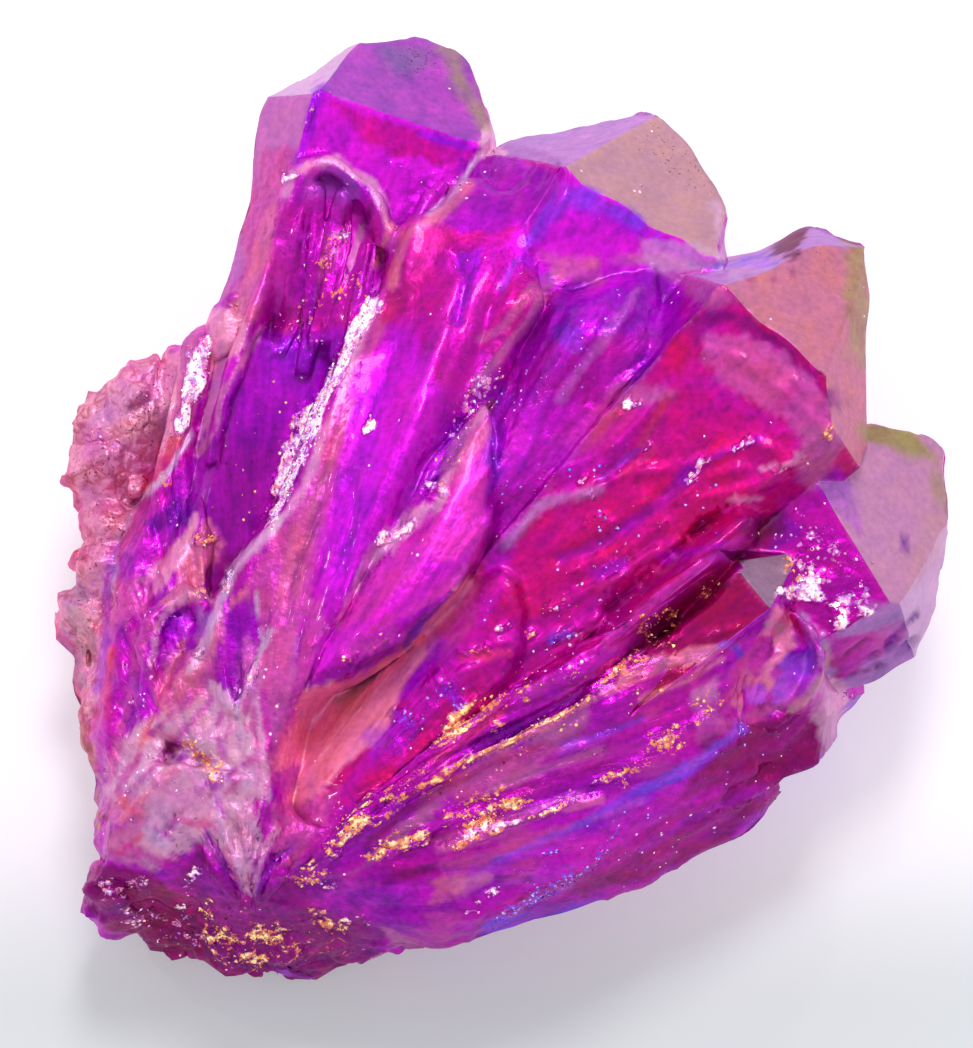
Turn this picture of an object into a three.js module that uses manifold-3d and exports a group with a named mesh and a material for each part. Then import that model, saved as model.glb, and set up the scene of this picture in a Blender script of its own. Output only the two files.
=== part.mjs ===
// A cluster of quartz points coated with titanium. The points fan out from one root and lie on their side.
// Millimetres, +Z up. The root is at low X and low Y, and the points spread over the table from there.

import * as THREE from "three";
import { ConvexGeometry } from "three/addons/geometries/ConvexGeometry.js";
import { mergeVertices } from "three/addons/utils/BufferGeometryUtils.js";
import Module from "manifold-3d";

const wasm = await Module();
wasm.setup();

// ---------- driving dimensions ----------

// Quartz's own angles: six prism sides, and six tip faces that each lean in from the side below them.
const SIDES = 6;
const TURN_BETWEEN_SIDES = 360 / SIDES;
const TIP_LEAN = 38.2;

// The five large points. tip is a place on the axis at its free end, and length runs back to the root.
// girth is how far each side lies from the axis at the tip, foot the same at the root, and rake how far back
// each tip face starts.
const LARGE_POINTS = {
  north: {
    tip: [-7, 52, 20], heading: 74, pitch: 2, roll: 14, length: 88,
    girth: [10.5, 12.8, 11, 9, 11, 14.3], foot: [4, 6, 7, 6, 6, 7], rake: [-0.5, -5.3, 0, 0, 0, -4.5],
    chips: [
      { turn: -90, lean: 28, back: 0.2 },
      { turn: 90, lean: 20, back: -2 },
      { turn: 90, lean: 40, back: -4 },
      { turn: 90, lean: 56, back: -7 },
    ],
  },
  north_east: {
    tip: [15.5, 43, 22], heading: 61, pitch: 1, roll: 11, length: 84,
    girth: [14, 23, 11, 11, 12, 10.6], foot: [4, 8, 8, 6, 8, 7], rake: [-3.5, -10.5, 0, 0, 0, 0],
    chips: [
      { turn: -90, lean: 18, back: 0.4 },
      { turn: 90, lean: 20, back: -1.7 },
      { turn: 90, lean: 45, back: -6.3 },
    ],
  },
  east: {
    tip: [36.5, 28.5, 24], heading: 49, pitch: 4, roll: 4, length: 84,
    girth: [17, 22, 12, 12, 14, 12.8], foot: [6, 5, 6, 8, 8, 7], rake: [-4.4, -4.6, 0, 0, 0, 0],
    chips: [{ turn: -90, lean: 31, back: 1.5 }, { turn: 93, lean: 49, back: -2 }],
  },
  far_east: {
    tip: [46.5, 6, 17], heading: 31, pitch: 2, roll: 12, length: 76,
    girth: [15.4, 15.6, 11, 10, 11, 12.8], foot: [5, 7, 6, 6, 6, 6], rake: [-3.2, -4.8, 0, 0, 0, -7.5],
    chips: [
      { turn: -90, lean: 24, back: 0 },
      { turn: -90, lean: 40, back: -1.8 },
      { turn: 90, lean: 20, back: 1.2 },
    ],
  },
  south_east: {
    tip: [36, -12, 15], heading: 27, pitch: 0, roll: 50, length: 38,
    girth: [8.5, 8, 8, 8, 8, 8], foot: [7, 6, 6, 6, 6, 6], rake: [-8, -8, -8, -8, -8, -8],
    chips: [
      { turn: 50, lean: 32, back: 0.5 },
      { turn: -20, lean: 14, back: 0 },
      { turn: 85, lean: 52, back: -3.2 },
    ],
  },
};

// Small points, each a regular six-sided crystal of one girth, thinner at the foot.
const SMALL_FOOT = 0.75;
const SMALL_POINTS = {
  violet: { tip: [17, 23.5, 31.5], heading: 57, pitch: 11, roll: 18, length: 36, girth: 7.4 },
  lookout: { tip: [5, 23, 32.8], heading: 62, pitch: 9, roll: 20, length: 20, girth: 3 },
  side: { tip: [31, -5.5, 28], heading: 38, pitch: 6, roll: 8, length: 34, girth: 5.3 },
  blade: { tip: [-28, 20, 23.5], heading: 78, pitch: 2, roll: 30, length: 22, girth: 2 },
  west: { tip: [-43.5, -6.5, 13], heading: 115, pitch: 8, roll: 12, length: 14, girth: 2.2 },
  under_north: { tip: [-3, 38, 6.5], heading: 68, pitch: -3, roll: 30, length: 72, girth: 7 },
  under_north_west: { tip: [-19, 28, 11], heading: 88, pitch: -2, roll: 8, length: 60, girth: 6.5 },
  under_east: { tip: [31, 13, 7], heading: 41, pitch: -3, roll: 30, length: 68, girth: 7.5 },
  under_far_east: { tip: [33, -6, 9], heading: 26, pitch: -2, roll: 14, length: 60, girth: 6.5 },
  under_north_east: { tip: [18, 28, 10], heading: 54, pitch: -3, roll: 12, length: 70, girth: 7 },
};

// Ridges. Each place on a crest is x, y, z and half the width there.
const RIDGES = {
  arch: [
    [-20, 32.5, 31, 0.8], [-18.5, 34, 31.8, 1.2], [-16, 35, 32.2, 1.4], [-13.5, 33.5, 32.2, 1.5],
    [-11.5, 31, 32, 1.6], [-10, 28, 31.5, 1.4], [-9.5, 25, 31, 0.8],
  ],
  flute_left: [[-17, 33, 30.6, 0.8], [-18, 27.5, 30.4, 2], [-19.5, 21, 29.6, 2], [-21, 15, 27.9, 1]],
  flute_middle: [
    [-14, 32, 30.6, 0.8], [-15, 27, 30.6, 1.7], [-16.5, 21, 29.8, 1.7], [-18.5, 13, 27.8, 0.8],
  ],
  flute_right: [[-11.5, 27, 30.6, 0.8], [-13, 21, 30.2, 1.8], [-15.5, 14, 28.8, 0.8]],
  flute_edge: [[-4, 33, 30, 0.5], [-6, 30, 30.5, 1.2], [-8.5, 25, 31, 1.4], [-10, 19.5, 31.5, 1]],
  west_low: [[-26, -10.5, 28.5, 1], [-28, -17, 28, 1.8], [-30.5, -21.5, 26.5, 1]],
  loop: [
    [-33, -19.5, 26.5, 0.8], [-33.5, -15.5, 27, 1.2], [-32.5, -11.5, 27.5, 1.3], [-29.5, -9.5, 28, 1.3],
    [-27.5, -11.5, 28, 1.3], [-27.5, -15, 28, 1.2], [-29.5, -17.5, 27.5, 0.8],
  ],
  pit_left: [
    [-25.5, -11, 29.5, 0.8], [-26, -16, 29.5, 1.2], [-25.5, -20.5, 29.5, 1.2], [-24.5, -22.5, 29.5, 0.8],
  ],
  pit_right: [
    [-21, -11.5, 31, 1], [-21.5, -16.5, 31, 1.5], [-23, -20.5, 30.5, 1.5], [-24.5, -23, 29.8, 0.8],
  ],
  fan_a: [[-28, -33, 27, 0.6], [-26, -37, 26.5, 1.8], [-24, -39.5, 22, 0.8]],
  fan_b: [[-25.5, -32.5, 28, 0.6], [-24.5, -36.5, 27.5, 1.9], [-23.5, -39.5, 22, 0.8]],
  fan_c: [[-23.5, -32.5, 28.5, 0.6], [-23.5, -36.5, 28, 1.8], [-23.5, -39.5, 22, 0.8]],
  fan_d: [[-21, -33.5, 28.5, 0.6], [-22, -37, 27.8, 1.8], [-23, -39.5, 22, 0.8]],
  fan_e: [[-19, -34.5, 28, 0.6], [-20.5, -37.5, 27, 1.6], [-22.5, -39.5, 22, 0.8]],
  step_upper: [
    [25, -8, 33, 0.8], [20, -11.5, 33.5, 1.6], [13, -16, 33, 2], [5, -20.5, 32, 2], [-2.5, -25.5, 31, 2],
    [-10.5, -31.5, 29.5, 1.8], [-16.5, -37, 27, 1],
  ],
  step_lower: [
    [21, -10.5, 31.5, 0.8], [15, -15.5, 31.5, 1.6], [8, -19.5, 31, 1.8], [0.5, -24.5, 30, 1.8],
    [-6.5, -29.5, 29, 1.6], [-13.5, -35, 27, 1],
  ],
};

// The terrain between and on the points. Each group has crest and valley lines that run side by side from the
// tips to the root, with x, y and height at each place, and goes down to its base height.
const TERRAIN = {
  // the body of the north-east point, from its foot in the north trough to the groove beside the tongue
  body: {
    base: 20,
    lines: [
      // foot
      [
        [-1.5, 34, 28], [-6.5, 29, 28], [-10, 25, 28], [-11.5, 20.5, 28], [-15, 15.5, 28],
        [-18.5, 6.5, 27.5], [-21, 0, 27], [-24.5, -5.5, 26.5], [-26.5, -9, 26], [-29.5, -13.5, 25],
        [-32, -19, 25], [-34, -24, 25],
      ],
      // crest
      [
        [-1, 34.5, 31], [-4.5, 30, 32], [-8.5, 26, 32.5], [-10, 20.5, 33], [-13.5, 15.5, 33.5],
        [-16.5, 5.5, 33.5], [-18.5, 0, 33], [-21.5, -4.5, 32], [-24.5, -8, 31], [-27.5, -13, 30],
        [-30.5, -18.5, 28.5], [-33, -23.5, 27],
      ],
      // dip
      [
        [1.5, 31, 32.5], [-2.5, 26.5, 33], [-6, 22.5, 33], [-7.5, 18, 33], [-10, 12.5, 33.5],
        [-13.5, 3.5, 33.5], [-16, -3, 33], [-18.5, -7.5, 32], [-21, -11.5, 31], [-23.5, -16.5, 30],
        [-25.5, -21, 28.5], [-28.5, -25.5, 27.5],
      ],
      // spine
      [
        [4, 31, 34], [1.5, 25, 34.5], [-1.5, 18.5, 35], [-3.5, 13, 35.5], [-5.5, 7.5, 36], [-9, -0.5, 36],
        [-11.5, -6.5, 35.5], [-14, -12.5, 34.5], [-16.5, -17.5, 33.5], [-19, -23, 32],
        [-20.5, -28.5, 30.5], [-22.5, -34.5, 28.5],
      ],
      // groove
      [
        [7.5, 30.5, 33.5], [5.5, 23.5, 33], [3, 17, 32.5], [0.5, 12, 32], [-2, 7, 32], [-6, 0.5, 32],
        [-8.5, -3.5, 32], [-11.5, -8.5, 32], [-14.5, -14.5, 31.5], [-16.5, -20.5, 30.5],
        [-18.5, -27.5, 29.5], [-20.5, -34, 28],
      ],
    ],
  },
  // the lobe that hangs over the body
  tongue: {
    base: 28,
    lines: [
      // foot
      [
        [-0.5, 8.5, 33], [-4, 4.5, 33], [-8, -1.5, 33], [-10.5, -6.5, 33], [-14, -12, 32.5],
        [-16.5, -16, 32], [-18, -19.5, 31],
      ],
      // crest
      [
        [0, 8, 34], [-2, 2.5, 35.5], [-4, -4, 36], [-7, -10, 36], [-11.5, -15.5, 35.5], [-15.5, -19, 34],
        [-17.5, -21, 32.5],
      ],
      // rim
      [
        [0.5, 5.5, 34], [0.5, -0.5, 35], [0.5, -5.5, 35], [-3, -11.5, 34.5], [-8, -16, 34],
        [-13, -19.5, 33], [-16.5, -21, 32],
      ],
    ],
  },
  // the steps between the east and the south-east points
  terrace: {
    base: 12,
    lines: [
      // groove
      [
        [25, -8, 29], [20, -12.5, 30], [15, -16, 30], [9, -19, 29.5], [3.5, -22.5, 29],
        [-1.5, -25.5, 28.5], [-6.5, -28.5, 28], [-11.5, -32, 26.5], [-16.5, -36, 24.5],
      ],
      // crest
      [
        [25.5, -15, 28.5], [21, -16.5, 30], [16, -19, 31], [10, -21.5, 31], [4.5, -24.5, 30.5],
        [-0.5, -26.5, 30], [-5.5, -29, 29], [-11, -33.5, 27.5], [-16.5, -37, 25],
      ],
      // valley
      [
        [24.5, -17, 27], [21, -20, 28], [17, -22.5, 28.5], [12, -25.5, 28.5], [6, -28.5, 28],
        [0.5, -31, 27], [-4.5, -33, 26.5], [-10, -35, 25], [-15.5, -37.5, 23],
      ],
      // lower
      [
        [24.5, -24, 26], [21, -25, 27], [16, -28, 27.5], [11, -30.5, 27], [6, -32, 27], [1.5, -33.5, 26.5],
        [-4, -35, 25.5], [-9.5, -36.5, 24], [-15, -38.5, 21.5],
      ],
      // shoulder
      [
        [25.5, -23.5, 22.5], [21.5, -26.5, 22.5], [17.5, -30, 23], [13, -33, 23], [8.5, -36, 22.5],
        [4.5, -38.5, 21.5], [-0.5, -40.5, 20], [-5.5, -41, 18.5], [-11.5, -41, 17],
      ],
      // edge
      [
        [29, -25, 14], [26.5, -27, 13.5], [24, -29, 13], [21, -31.5, 13], [17.5, -34, 13],
        [11.5, -36.5, 13], [5.5, -38.5, 13], [-1.5, -40, 13], [-8.5, -41, 12],
      ],
    ],
  },
  // two ridges along the west side
  west: {
    base: 14,
    lines: [
      // outer
      [
        [-31.5, 9, 20], [-34.5, 3, 19], [-37.5, -3, 18], [-39, -11, 17], [-39.5, -19.5, 17],
        [-38.5, -27, 17], [-38.5, -32.5, 16],
      ],
      // crest
      [
        [-29.5, 8, 25], [-32, 2.5, 24.5], [-35, -5, 24], [-37, -14.5, 23.5], [-37.5, -23.5, 23.5],
        [-37.5, -29.5, 23], [-37.5, -34, 21],
      ],
      // valley
      [
        [-28.5, 4.5, 24], [-30.5, -1, 24], [-33, -7, 23.5], [-35, -15.5, 23.5], [-36, -23.5, 23.5],
        [-36, -29.5, 23], [-35.5, -34, 21],
      ],
      // inner
      [
        [-28, -2, 27], [-30.5, -6, 26.5], [-32.5, -11, 26.5], [-33.5, -17.5, 26.5], [-34, -23.5, 26],
        [-34, -29, 25], [-33.5, -34.5, 22.5],
      ],
      // foot
      [
        [-27, -4, 26], [-28, -10, 26], [-29.5, -15.5, 26], [-31, -20.5, 26], [-32, -25.5, 26],
        [-32, -30, 25], [-30.5, -34.5, 23],
      ],
    ],
  },
  // the west rim of the north point
  rim: {
    base: 18,
    lines: [
      // outer
      [
        [-21, 37.5, 26], [-22.5, 31, 25.5], [-23.5, 24, 25], [-25, 19, 24.5], [-27, 11.5, 24],
        [-28.5, 4.5, 23.5],
      ],
      // crest
      [
        [-19.5, 34.5, 31], [-20.5, 28.5, 30.5], [-22.5, 22, 30], [-24.5, 16.5, 29], [-26.5, 10, 28.5],
        [-27.5, 4, 27.5],
      ],
      // foot
      [
        [-17, 34.5, 30], [-18.5, 28.5, 29.5], [-20, 22, 28.5], [-22.5, 16.5, 27.5], [-25, 10, 27],
        [-26.5, 4, 26.5],
      ],
    ],
  },
  // the mound and the broken root
  root: {
    base: 6,
    lines: [
      // mound
      [
        [-38, -28.5, 23], [-33, -26.5, 27], [-28.5, -27.5, 29], [-24, -28.5, 29.5], [-20.5, -31.5, 29],
        [-15.5, -33.5, 27], [-10.5, -35, 25.5], [-5.5, -36.5, 23],
      ],
      // top
      [
        [-37.5, -34.5, 22], [-33, -34.5, 24], [-28, -34, 26.5], [-23.5, -34.5, 28], [-19.5, -35.5, 27],
        [-15, -37.5, 25], [-10.5, -39, 23], [-5.5, -39, 20],
      ],
      // middle
      [
        [-39, -36.5, 18], [-34, -37.5, 20], [-29, -37, 21], [-24, -39.5, 21], [-19, -39.5, 20],
        [-14, -40, 19], [-9.5, -40.5, 17], [-5.5, -39.5, 16],
      ],
      // edge
      [
        [-39.5, -38, 10], [-35, -40, 9], [-29.5, -41, 8], [-24, -42.5, 7], [-19, -42.5, 7], [-14, -42, 8],
        [-9.5, -40.5, 9], [-6, -39, 11],
      ],
    ],
  },
  // the curled end above the south-east point
  petals: {
    base: 18,
    lines: [
      // outer
      [
        [28, -12, 27], [30, -11.5, 28], [32, -13.5, 28.5], [33, -15.5, 28], [33, -18, 26.5],
        [31.5, -20, 25], [29.5, -21.5, 24.5], [28, -23, 24.5],
      ],
      // hollow
      [
        [28, -13.5, 25.5], [29.5, -13, 25.5], [31, -14.5, 25.5], [31.5, -16, 25], [31.5, -17, 24.5],
        [30, -19, 24], [29, -20, 23.8], [27.5, -21.5, 24],
      ],
      // inner
      [
        [26, -14.5, 28], [27.5, -14.5, 28], [28.5, -16, 28], [28.5, -17, 27.5], [28, -18, 27.3],
        [27.5, -19.5, 26.5], [27, -20.5, 26], [27, -21.5, 25.5],
      ],
      // low
      [
        [24, -17, 27], [25, -17, 27], [25.5, -18, 27], [25.5, -19, 27], [25.5, -19.5, 26.5],
        [25.5, -20.5, 26], [25.5, -21.5, 25.5], [25.5, -22.5, 25],
      ],
    ],
  },
};

// Lumps of the crust that the points grew from. Each is a middle and three half widths.
const LUMPS = {
  west: [
    [[-35.5, 12.5, 17], [7, 6.5, 6]],
    [[-37.5, 6.5, 16], [5.5, 5, 5.5]],
    [[-36, 1.5, 15], [5, 5.5, 6]],
    [[-30.5, 15, 18], [4.5, 4.5, 5]],
    [[-25.5, 19, 24], [2.6, 4.5, 3.5]],
    [[-37.5, -4, 14], [4.5, 5, 6]],
    [[-39.5, -9, 13], [4, 5, 5]],
    [[-37.5, -17, 13], [3.8, 8, 7]],
    [[-36.5, -26, 13], [4, 8, 8]],
  ],
  mound: [[[-28, -28, 18], [9, 8, 9]]],
  core: [
    [[-26, -30, 9], [14, 9, 10]],
    [[-12, -31, 10], [10, 7, 9]],
  ],
  root: [
    [[-36.5, -36.5, 10], [4.8, 4.5, 9]],
    [[-31.5, -38.5, 7], [5.5, 4.2, 8]],
    [[-25.5, -39.5, 6.5], [6, 4, 8]],
    [[-18.5, -39.5, 6.5], [6, 4, 8]],
    [[-11.5, -38, 8], [6, 4, 8]],
    [[-6, -35, 9], [5, 4, 7]],
  ],
};

// What grows on the lumps: knobs on the west crust, and small crystals on the root.
const LUMP_CORNERS = 26;
const KNOBS_ON_LUMP = 6;
const KNOB_CORNERS = 14;
const CRYSTALS_ON_LUMP = 6;
const CRYSTAL_GIRTH = [0.7, 1.5];
const CRYSTAL_LENGTHS = 4;

// How deep knobs and crystals are set in their lump, as a share of the way out to its surface.
const KNOB_DEPTH = 0.8;
const KNOB_SIZE = [0.25, 0.42];
const CRYSTAL_DEPTH = 0.85;

// No part of the cluster is further than this from the middle of the root.
const REACH = 100;

// ---------- solids from geometry ----------

const UP = new THREE.Vector3(0, 0, 1);
const rad = THREE.MathUtils.degToRad;

function solidOf(geometry) {
  const bare = geometry.clone();
  for (const name of Object.keys(bare.attributes)) {
    if (name !== "position") bare.deleteAttribute(name);
  }
  const merged = mergeVertices(bare, 1e-4);
  return new wasm.Manifold(
    new wasm.Mesh({
      numProp: 3,
      vertProperties: merged.attributes.position.array,
      triVerts: new Uint32Array(merged.index.array),
    }),
  );
}

const hullOf = (corners) => solidOf(new ConvexGeometry(corners));

function planeAt(normal, place) {
  return new THREE.Plane().setFromNormalAndCoplanarPoint(normal, place);
}

// The corners of the convex body that lies behind all of these planes.
function cornersBehind(planes) {
  const corners = [];
  for (const [i, a] of planes.entries()) {
    for (const [j, b] of planes.slice(i + 1).entries()) {
      for (const c of planes.slice(i + j + 2)) {
        const bc = new THREE.Vector3().crossVectors(b.normal, c.normal);
        const volume = a.normal.dot(bc);
        if (Math.abs(volume) < 1e-6) continue;
        const corner = bc.multiplyScalar(-a.constant);
        corner.addScaledVector(new THREE.Vector3().crossVectors(c.normal, a.normal), -b.constant);
        corner.addScaledVector(new THREE.Vector3().crossVectors(a.normal, b.normal), -c.constant);
        corner.divideScalar(volume);
        if (planes.every((plane) => plane.distanceToPoint(corner) < 1e-5)) corners.push(corner);
      }
    }
  }
  return corners;
}

// One quartz point. heading is its way across the table and pitch its rise, in degrees. The first side
// looks roll degrees from straight up, and the rest follow clockwise as seen from the root. chips are broken
// faces that lean away from the axis, turned like sides.
function quartzPoint({ tip, heading, pitch, roll, length, girth, foot, rake, chips = [] }) {
  const flat = Math.cos(rad(pitch));
  const axis = new THREE.Vector3(
    Math.cos(rad(heading)) * flat,
    Math.sin(rad(heading)) * flat,
    Math.sin(rad(pitch)),
  );
  const top = UP.clone().addScaledVector(axis, -axis.dot(UP)).normalize();
  const right = new THREE.Vector3().crossVectors(axis, top);
  const outward = (turn) =>
    top.clone().multiplyScalar(Math.cos(rad(turn))).addScaledVector(right, Math.sin(rad(turn)));
  const leaning = (turn, fromAxis) =>
    outward(turn).multiplyScalar(Math.sin(rad(fromAxis))).addScaledVector(axis, Math.cos(rad(fromAxis)));
  const alongAxis = (back) => new THREE.Vector3(...tip).addScaledVector(axis, -back);

  const planes = [planeAt(axis.clone().negate(), alongAxis(length))];
  for (let k = 0; k < SIDES; k++) {
    const turn = roll + k * TURN_BETWEEN_SIDES;
    const narrowing = THREE.MathUtils.radToDeg(Math.atan((girth[k] - foot[k]) / length));
    const onSide = alongAxis(0).addScaledVector(outward(turn), girth[k]);
    planes.push(planeAt(leaning(turn, 90 + narrowing), onSide));
    planes.push(planeAt(leaning(turn, 90 - TIP_LEAN), alongAxis(rake[k])));
  }
  for (const { turn, lean, back } of chips) planes.push(planeAt(leaning(turn, lean), alongAxis(back)));
  return hullOf(cornersBehind(planes));
}

// A ridge: six-sided rings with one corner on the crest, joined one after the other.
function ridge(crest) {
  const places = crest.map(([x, y, z, halfWidth]) => new THREE.Vector3(x, y, z - halfWidth));
  const rings = crest.map(([, , , halfWidth], i) => {
    const ahead = places[Math.min(i + 1, places.length - 1)];
    const behind = places[Math.max(i - 1, 0)];
    const way = ahead.clone().sub(behind).normalize();
    const top = UP.clone().addScaledVector(way, -way.dot(UP)).normalize();
    const right = new THREE.Vector3().crossVectors(way, top);
    return Array.from({ length: SIDES }, (_, k) => {
      const turn = rad(k * TURN_BETWEEN_SIDES);
      return places[i]
        .clone()
        .addScaledVector(top, halfWidth * Math.cos(turn))
        .addScaledVector(right, halfWidth * Math.sin(turn));
    });
  });
  return joined(rings.slice(1).map((ring, i) => hullOf([...rings[i], ...ring])));
}

// Terrain: a block under each four neighbouring places of two lines.
function terrain({ base, lines }) {
  const blocks = [];
  for (let i = 0; i + 1 < lines.length; i++) {
    for (let j = 0; j + 1 < lines[i].length; j++) {
      const corners = [lines[i][j], lines[i][j + 1], lines[i + 1][j], lines[i + 1][j + 1]];
      const below = corners.map(([x, y]) => [x, y, base]);
      blocks.push(hullOf([...corners, ...below].map((corner) => new THREE.Vector3(...corner))));
    }
  }
  return joined(blocks);
}

function joined(solids) {
  return solids.reduce((whole, solid) => whole.add(solid));
}

// Numbers between two limits, the same ones every time.
let state = 11;
function between(low, high) {
  state = (state * 1664525 + 1013904223) % 4294967296;
  return low + ((high - low) * state) / 4294967296;
}

function anyWay() {
  const turn = between(0, 2 * Math.PI);
  const height = between(-1, 1);
  const across = Math.sqrt(1 - height * height);
  return new THREE.Vector3(across * Math.cos(turn), across * Math.sin(turn), height);
}

// A lump of broken flat faces.
function lump([middle, halfWidths], cornerCount) {
  const corners = Array.from({ length: cornerCount }, () =>
    anyWay().multiply(new THREE.Vector3(...halfWidths)).add(new THREE.Vector3(...middle)),
  );
  return hullOf(corners);
}

// Knobs half sunk in a lump.
function knobsOn([middle, halfWidths]) {
  return Array.from({ length: KNOBS_ON_LUMP }, () => {
    const place = anyWay().multiply(new THREE.Vector3(...halfWidths)).multiplyScalar(KNOB_DEPTH);
    const size = between(...KNOB_SIZE) * Math.min(...halfWidths);
    return lump([place.add(new THREE.Vector3(...middle)).toArray(), [size, size, size]], KNOB_CORNERS);
  });
}

// Small crystals that stand out of a lump on the side away from the points.
function crystalsOn([middle, halfWidths]) {
  return Array.from({ length: CRYSTALS_ON_LUMP }, () => {
    const way = anyWay();
    way.y = -Math.abs(way.y);
    const girth = between(...CRYSTAL_GIRTH);
    const place = way.clone().multiply(new THREE.Vector3(...halfWidths)).multiplyScalar(CRYSTAL_DEPTH);
    place.add(new THREE.Vector3(...middle)).addScaledVector(way, girth);
    return smallPoint({
      tip: place.toArray(),
      heading: THREE.MathUtils.radToDeg(Math.atan2(way.y, way.x)),
      pitch: THREE.MathUtils.radToDeg(Math.asin(way.z)),
      roll: between(0, TURN_BETWEEN_SIDES),
      length: girth * CRYSTAL_LENGTHS,
      girth,
    });
  });
}

// ---------- the cluster ----------

function smallPoint({ girth, ...place }) {
  const even = (value) => Array(SIDES).fill(value);
  return quartzPoint({ ...place, girth: even(girth), foot: even(girth * SMALL_FOOT), rake: even(0) });
}

const solids = [
  ...Object.values(LARGE_POINTS).map(quartzPoint),
  ...Object.values(SMALL_POINTS).map(smallPoint),
  ...Object.values(TERRAIN).map(terrain),
  ...Object.values(RIDGES).map(ridge),
  ...Object.values(LUMPS).flat().map((place) => lump(place, LUMP_CORNERS)),
  ...LUMPS.west.flatMap(knobsOn),
  ...LUMPS.root.flatMap(crystalsOn),
  ...LUMPS.root.flatMap(knobsOn),
];
// Nothing reaches below the table: the undersides that touch it are worn flat.
const square = [-REACH, REACH].flatMap((x) => [-REACH, REACH].map((y) => [x, y]));
const aboveTable = hullOf(square.flatMap(([x, y]) => [0, REACH].map((z) => new THREE.Vector3(x, y, z))));
const shells = joined(solids).intersect(aboveTable).decompose();
// The one outer shell: thin gaps shut in between the points are left out.
const cluster = shells.reduce((outer, shell) => (shell.volume() > outer.volume() ? shell : outer));

const mesh = cluster.getMesh();
const geometry = new THREE.BufferGeometry();
geometry.setAttribute("position", new THREE.BufferAttribute(mesh.vertProperties, 3));
geometry.setIndex(new THREE.BufferAttribute(mesh.triVerts, 1));
const quartz = new THREE.Mesh(
  geometry,
  new THREE.MeshStandardMaterial({ color: 0xa8168f, roughness: 0.15, metalness: 0.4 }),
);
quartz.name = "quartz_cluster";

// The origin is on the table, under the middle of the cluster.
geometry.computeBoundingBox();
const middle = geometry.boundingBox.getCenter(new THREE.Vector3());
quartz.position.set(-middle.x, -middle.y, 0);

const specimen = new THREE.Group();
specimen.add(quartz);
export default specimen;
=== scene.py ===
# %% [markdown]
# # Titanium-coated quartz cluster
#
# The real object is one natural stone: a fan of quartz points grown from a single root. A film of titanium,
# far thinner than a hair, was laid over it, and light that bounces off both sides of the film comes back
# magenta, violet, blue or gold. So there is one body to model, and nearly all the work is in its surface: the
# crisp flat faces of the points, the flowing ground between them, the broken root, and the coloured coat.
#
# The solid comes from the frame. The lesson copies its mesh, divides it finely, wears and carves it, and then
# paints it through attributes that the shader reads.

# %% The frame
import math
import random
from types import SimpleNamespace

import bmesh
import bpy
import numpy as np
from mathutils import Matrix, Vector, noise
from mathutils.bvhtree import BVHTree


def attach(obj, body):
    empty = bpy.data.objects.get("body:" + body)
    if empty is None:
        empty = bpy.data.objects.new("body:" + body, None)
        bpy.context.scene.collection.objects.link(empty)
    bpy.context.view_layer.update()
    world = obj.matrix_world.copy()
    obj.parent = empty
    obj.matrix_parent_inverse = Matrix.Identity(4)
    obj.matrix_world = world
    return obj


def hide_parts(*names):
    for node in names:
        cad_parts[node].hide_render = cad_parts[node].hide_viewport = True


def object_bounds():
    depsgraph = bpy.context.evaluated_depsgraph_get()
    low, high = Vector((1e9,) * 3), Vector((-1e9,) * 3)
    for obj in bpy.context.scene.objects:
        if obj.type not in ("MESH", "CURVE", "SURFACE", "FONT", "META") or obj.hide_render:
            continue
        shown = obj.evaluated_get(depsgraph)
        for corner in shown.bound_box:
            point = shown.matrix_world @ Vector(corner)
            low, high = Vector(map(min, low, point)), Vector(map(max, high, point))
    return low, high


MM = 0.001

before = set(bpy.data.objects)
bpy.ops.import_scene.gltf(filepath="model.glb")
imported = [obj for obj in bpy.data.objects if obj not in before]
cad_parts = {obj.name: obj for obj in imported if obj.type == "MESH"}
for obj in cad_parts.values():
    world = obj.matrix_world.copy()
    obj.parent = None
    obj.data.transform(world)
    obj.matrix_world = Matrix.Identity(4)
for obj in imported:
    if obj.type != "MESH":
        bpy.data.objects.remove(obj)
cad_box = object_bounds()
low_corner, high_corner = (np.array(corner) for corner in cad_box)
cad_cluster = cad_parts["quartz_cluster"]
print("frame:", len(cad_cluster.data.polygons), "faces")

# %% [markdown]
# ## Camera
#
# The stone lies on its side and is seen from above, a little from the front. A long lens far away keeps the
# points nearly parallel. The camera comes first, so that every later step can be looked at.

# %% Camera
LOOK_AT = Vector((-1.045, -4.198, 20.0)) * MM
CAMERA_HEIGHT = math.radians(72)
CAMERA_DISTANCE = 900 * MM
PICTURE_HEIGHT = 1048
PIXELS_PER_MM = 10
SENSOR = 36
CLOSEST_SEEN = 0.01
FARTHEST_SEEN = 20

towards_camera = Vector((0, -math.cos(CAMERA_HEIGHT), math.sin(CAMERA_HEIGHT)))
camera_data = bpy.data.cameras.new("camera")
camera_data.sensor_width = SENSOR
camera_data.lens = SENSOR * CAMERA_DISTANCE / (PICTURE_HEIGHT / PIXELS_PER_MM * MM)
camera_data.clip_start = CLOSEST_SEEN
camera_data.clip_end = FARTHEST_SEEN


def show(name, data):
    """Puts data into the scene as an object of that name."""
    made = bpy.data.objects.new(name, data)
    bpy.context.scene.collection.objects.link(made)
    return made


camera = show("camera", camera_data)
camera.location = LOOK_AT + towards_camera * CAMERA_DISTANCE
camera.rotation_mode = "QUATERNION"
camera.rotation_quaternion = (-towards_camera).to_track_quat("-Z", "Y")
bpy.context.scene.camera = camera
print("camera:", round(camera_data.lens), "mm lens")

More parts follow.
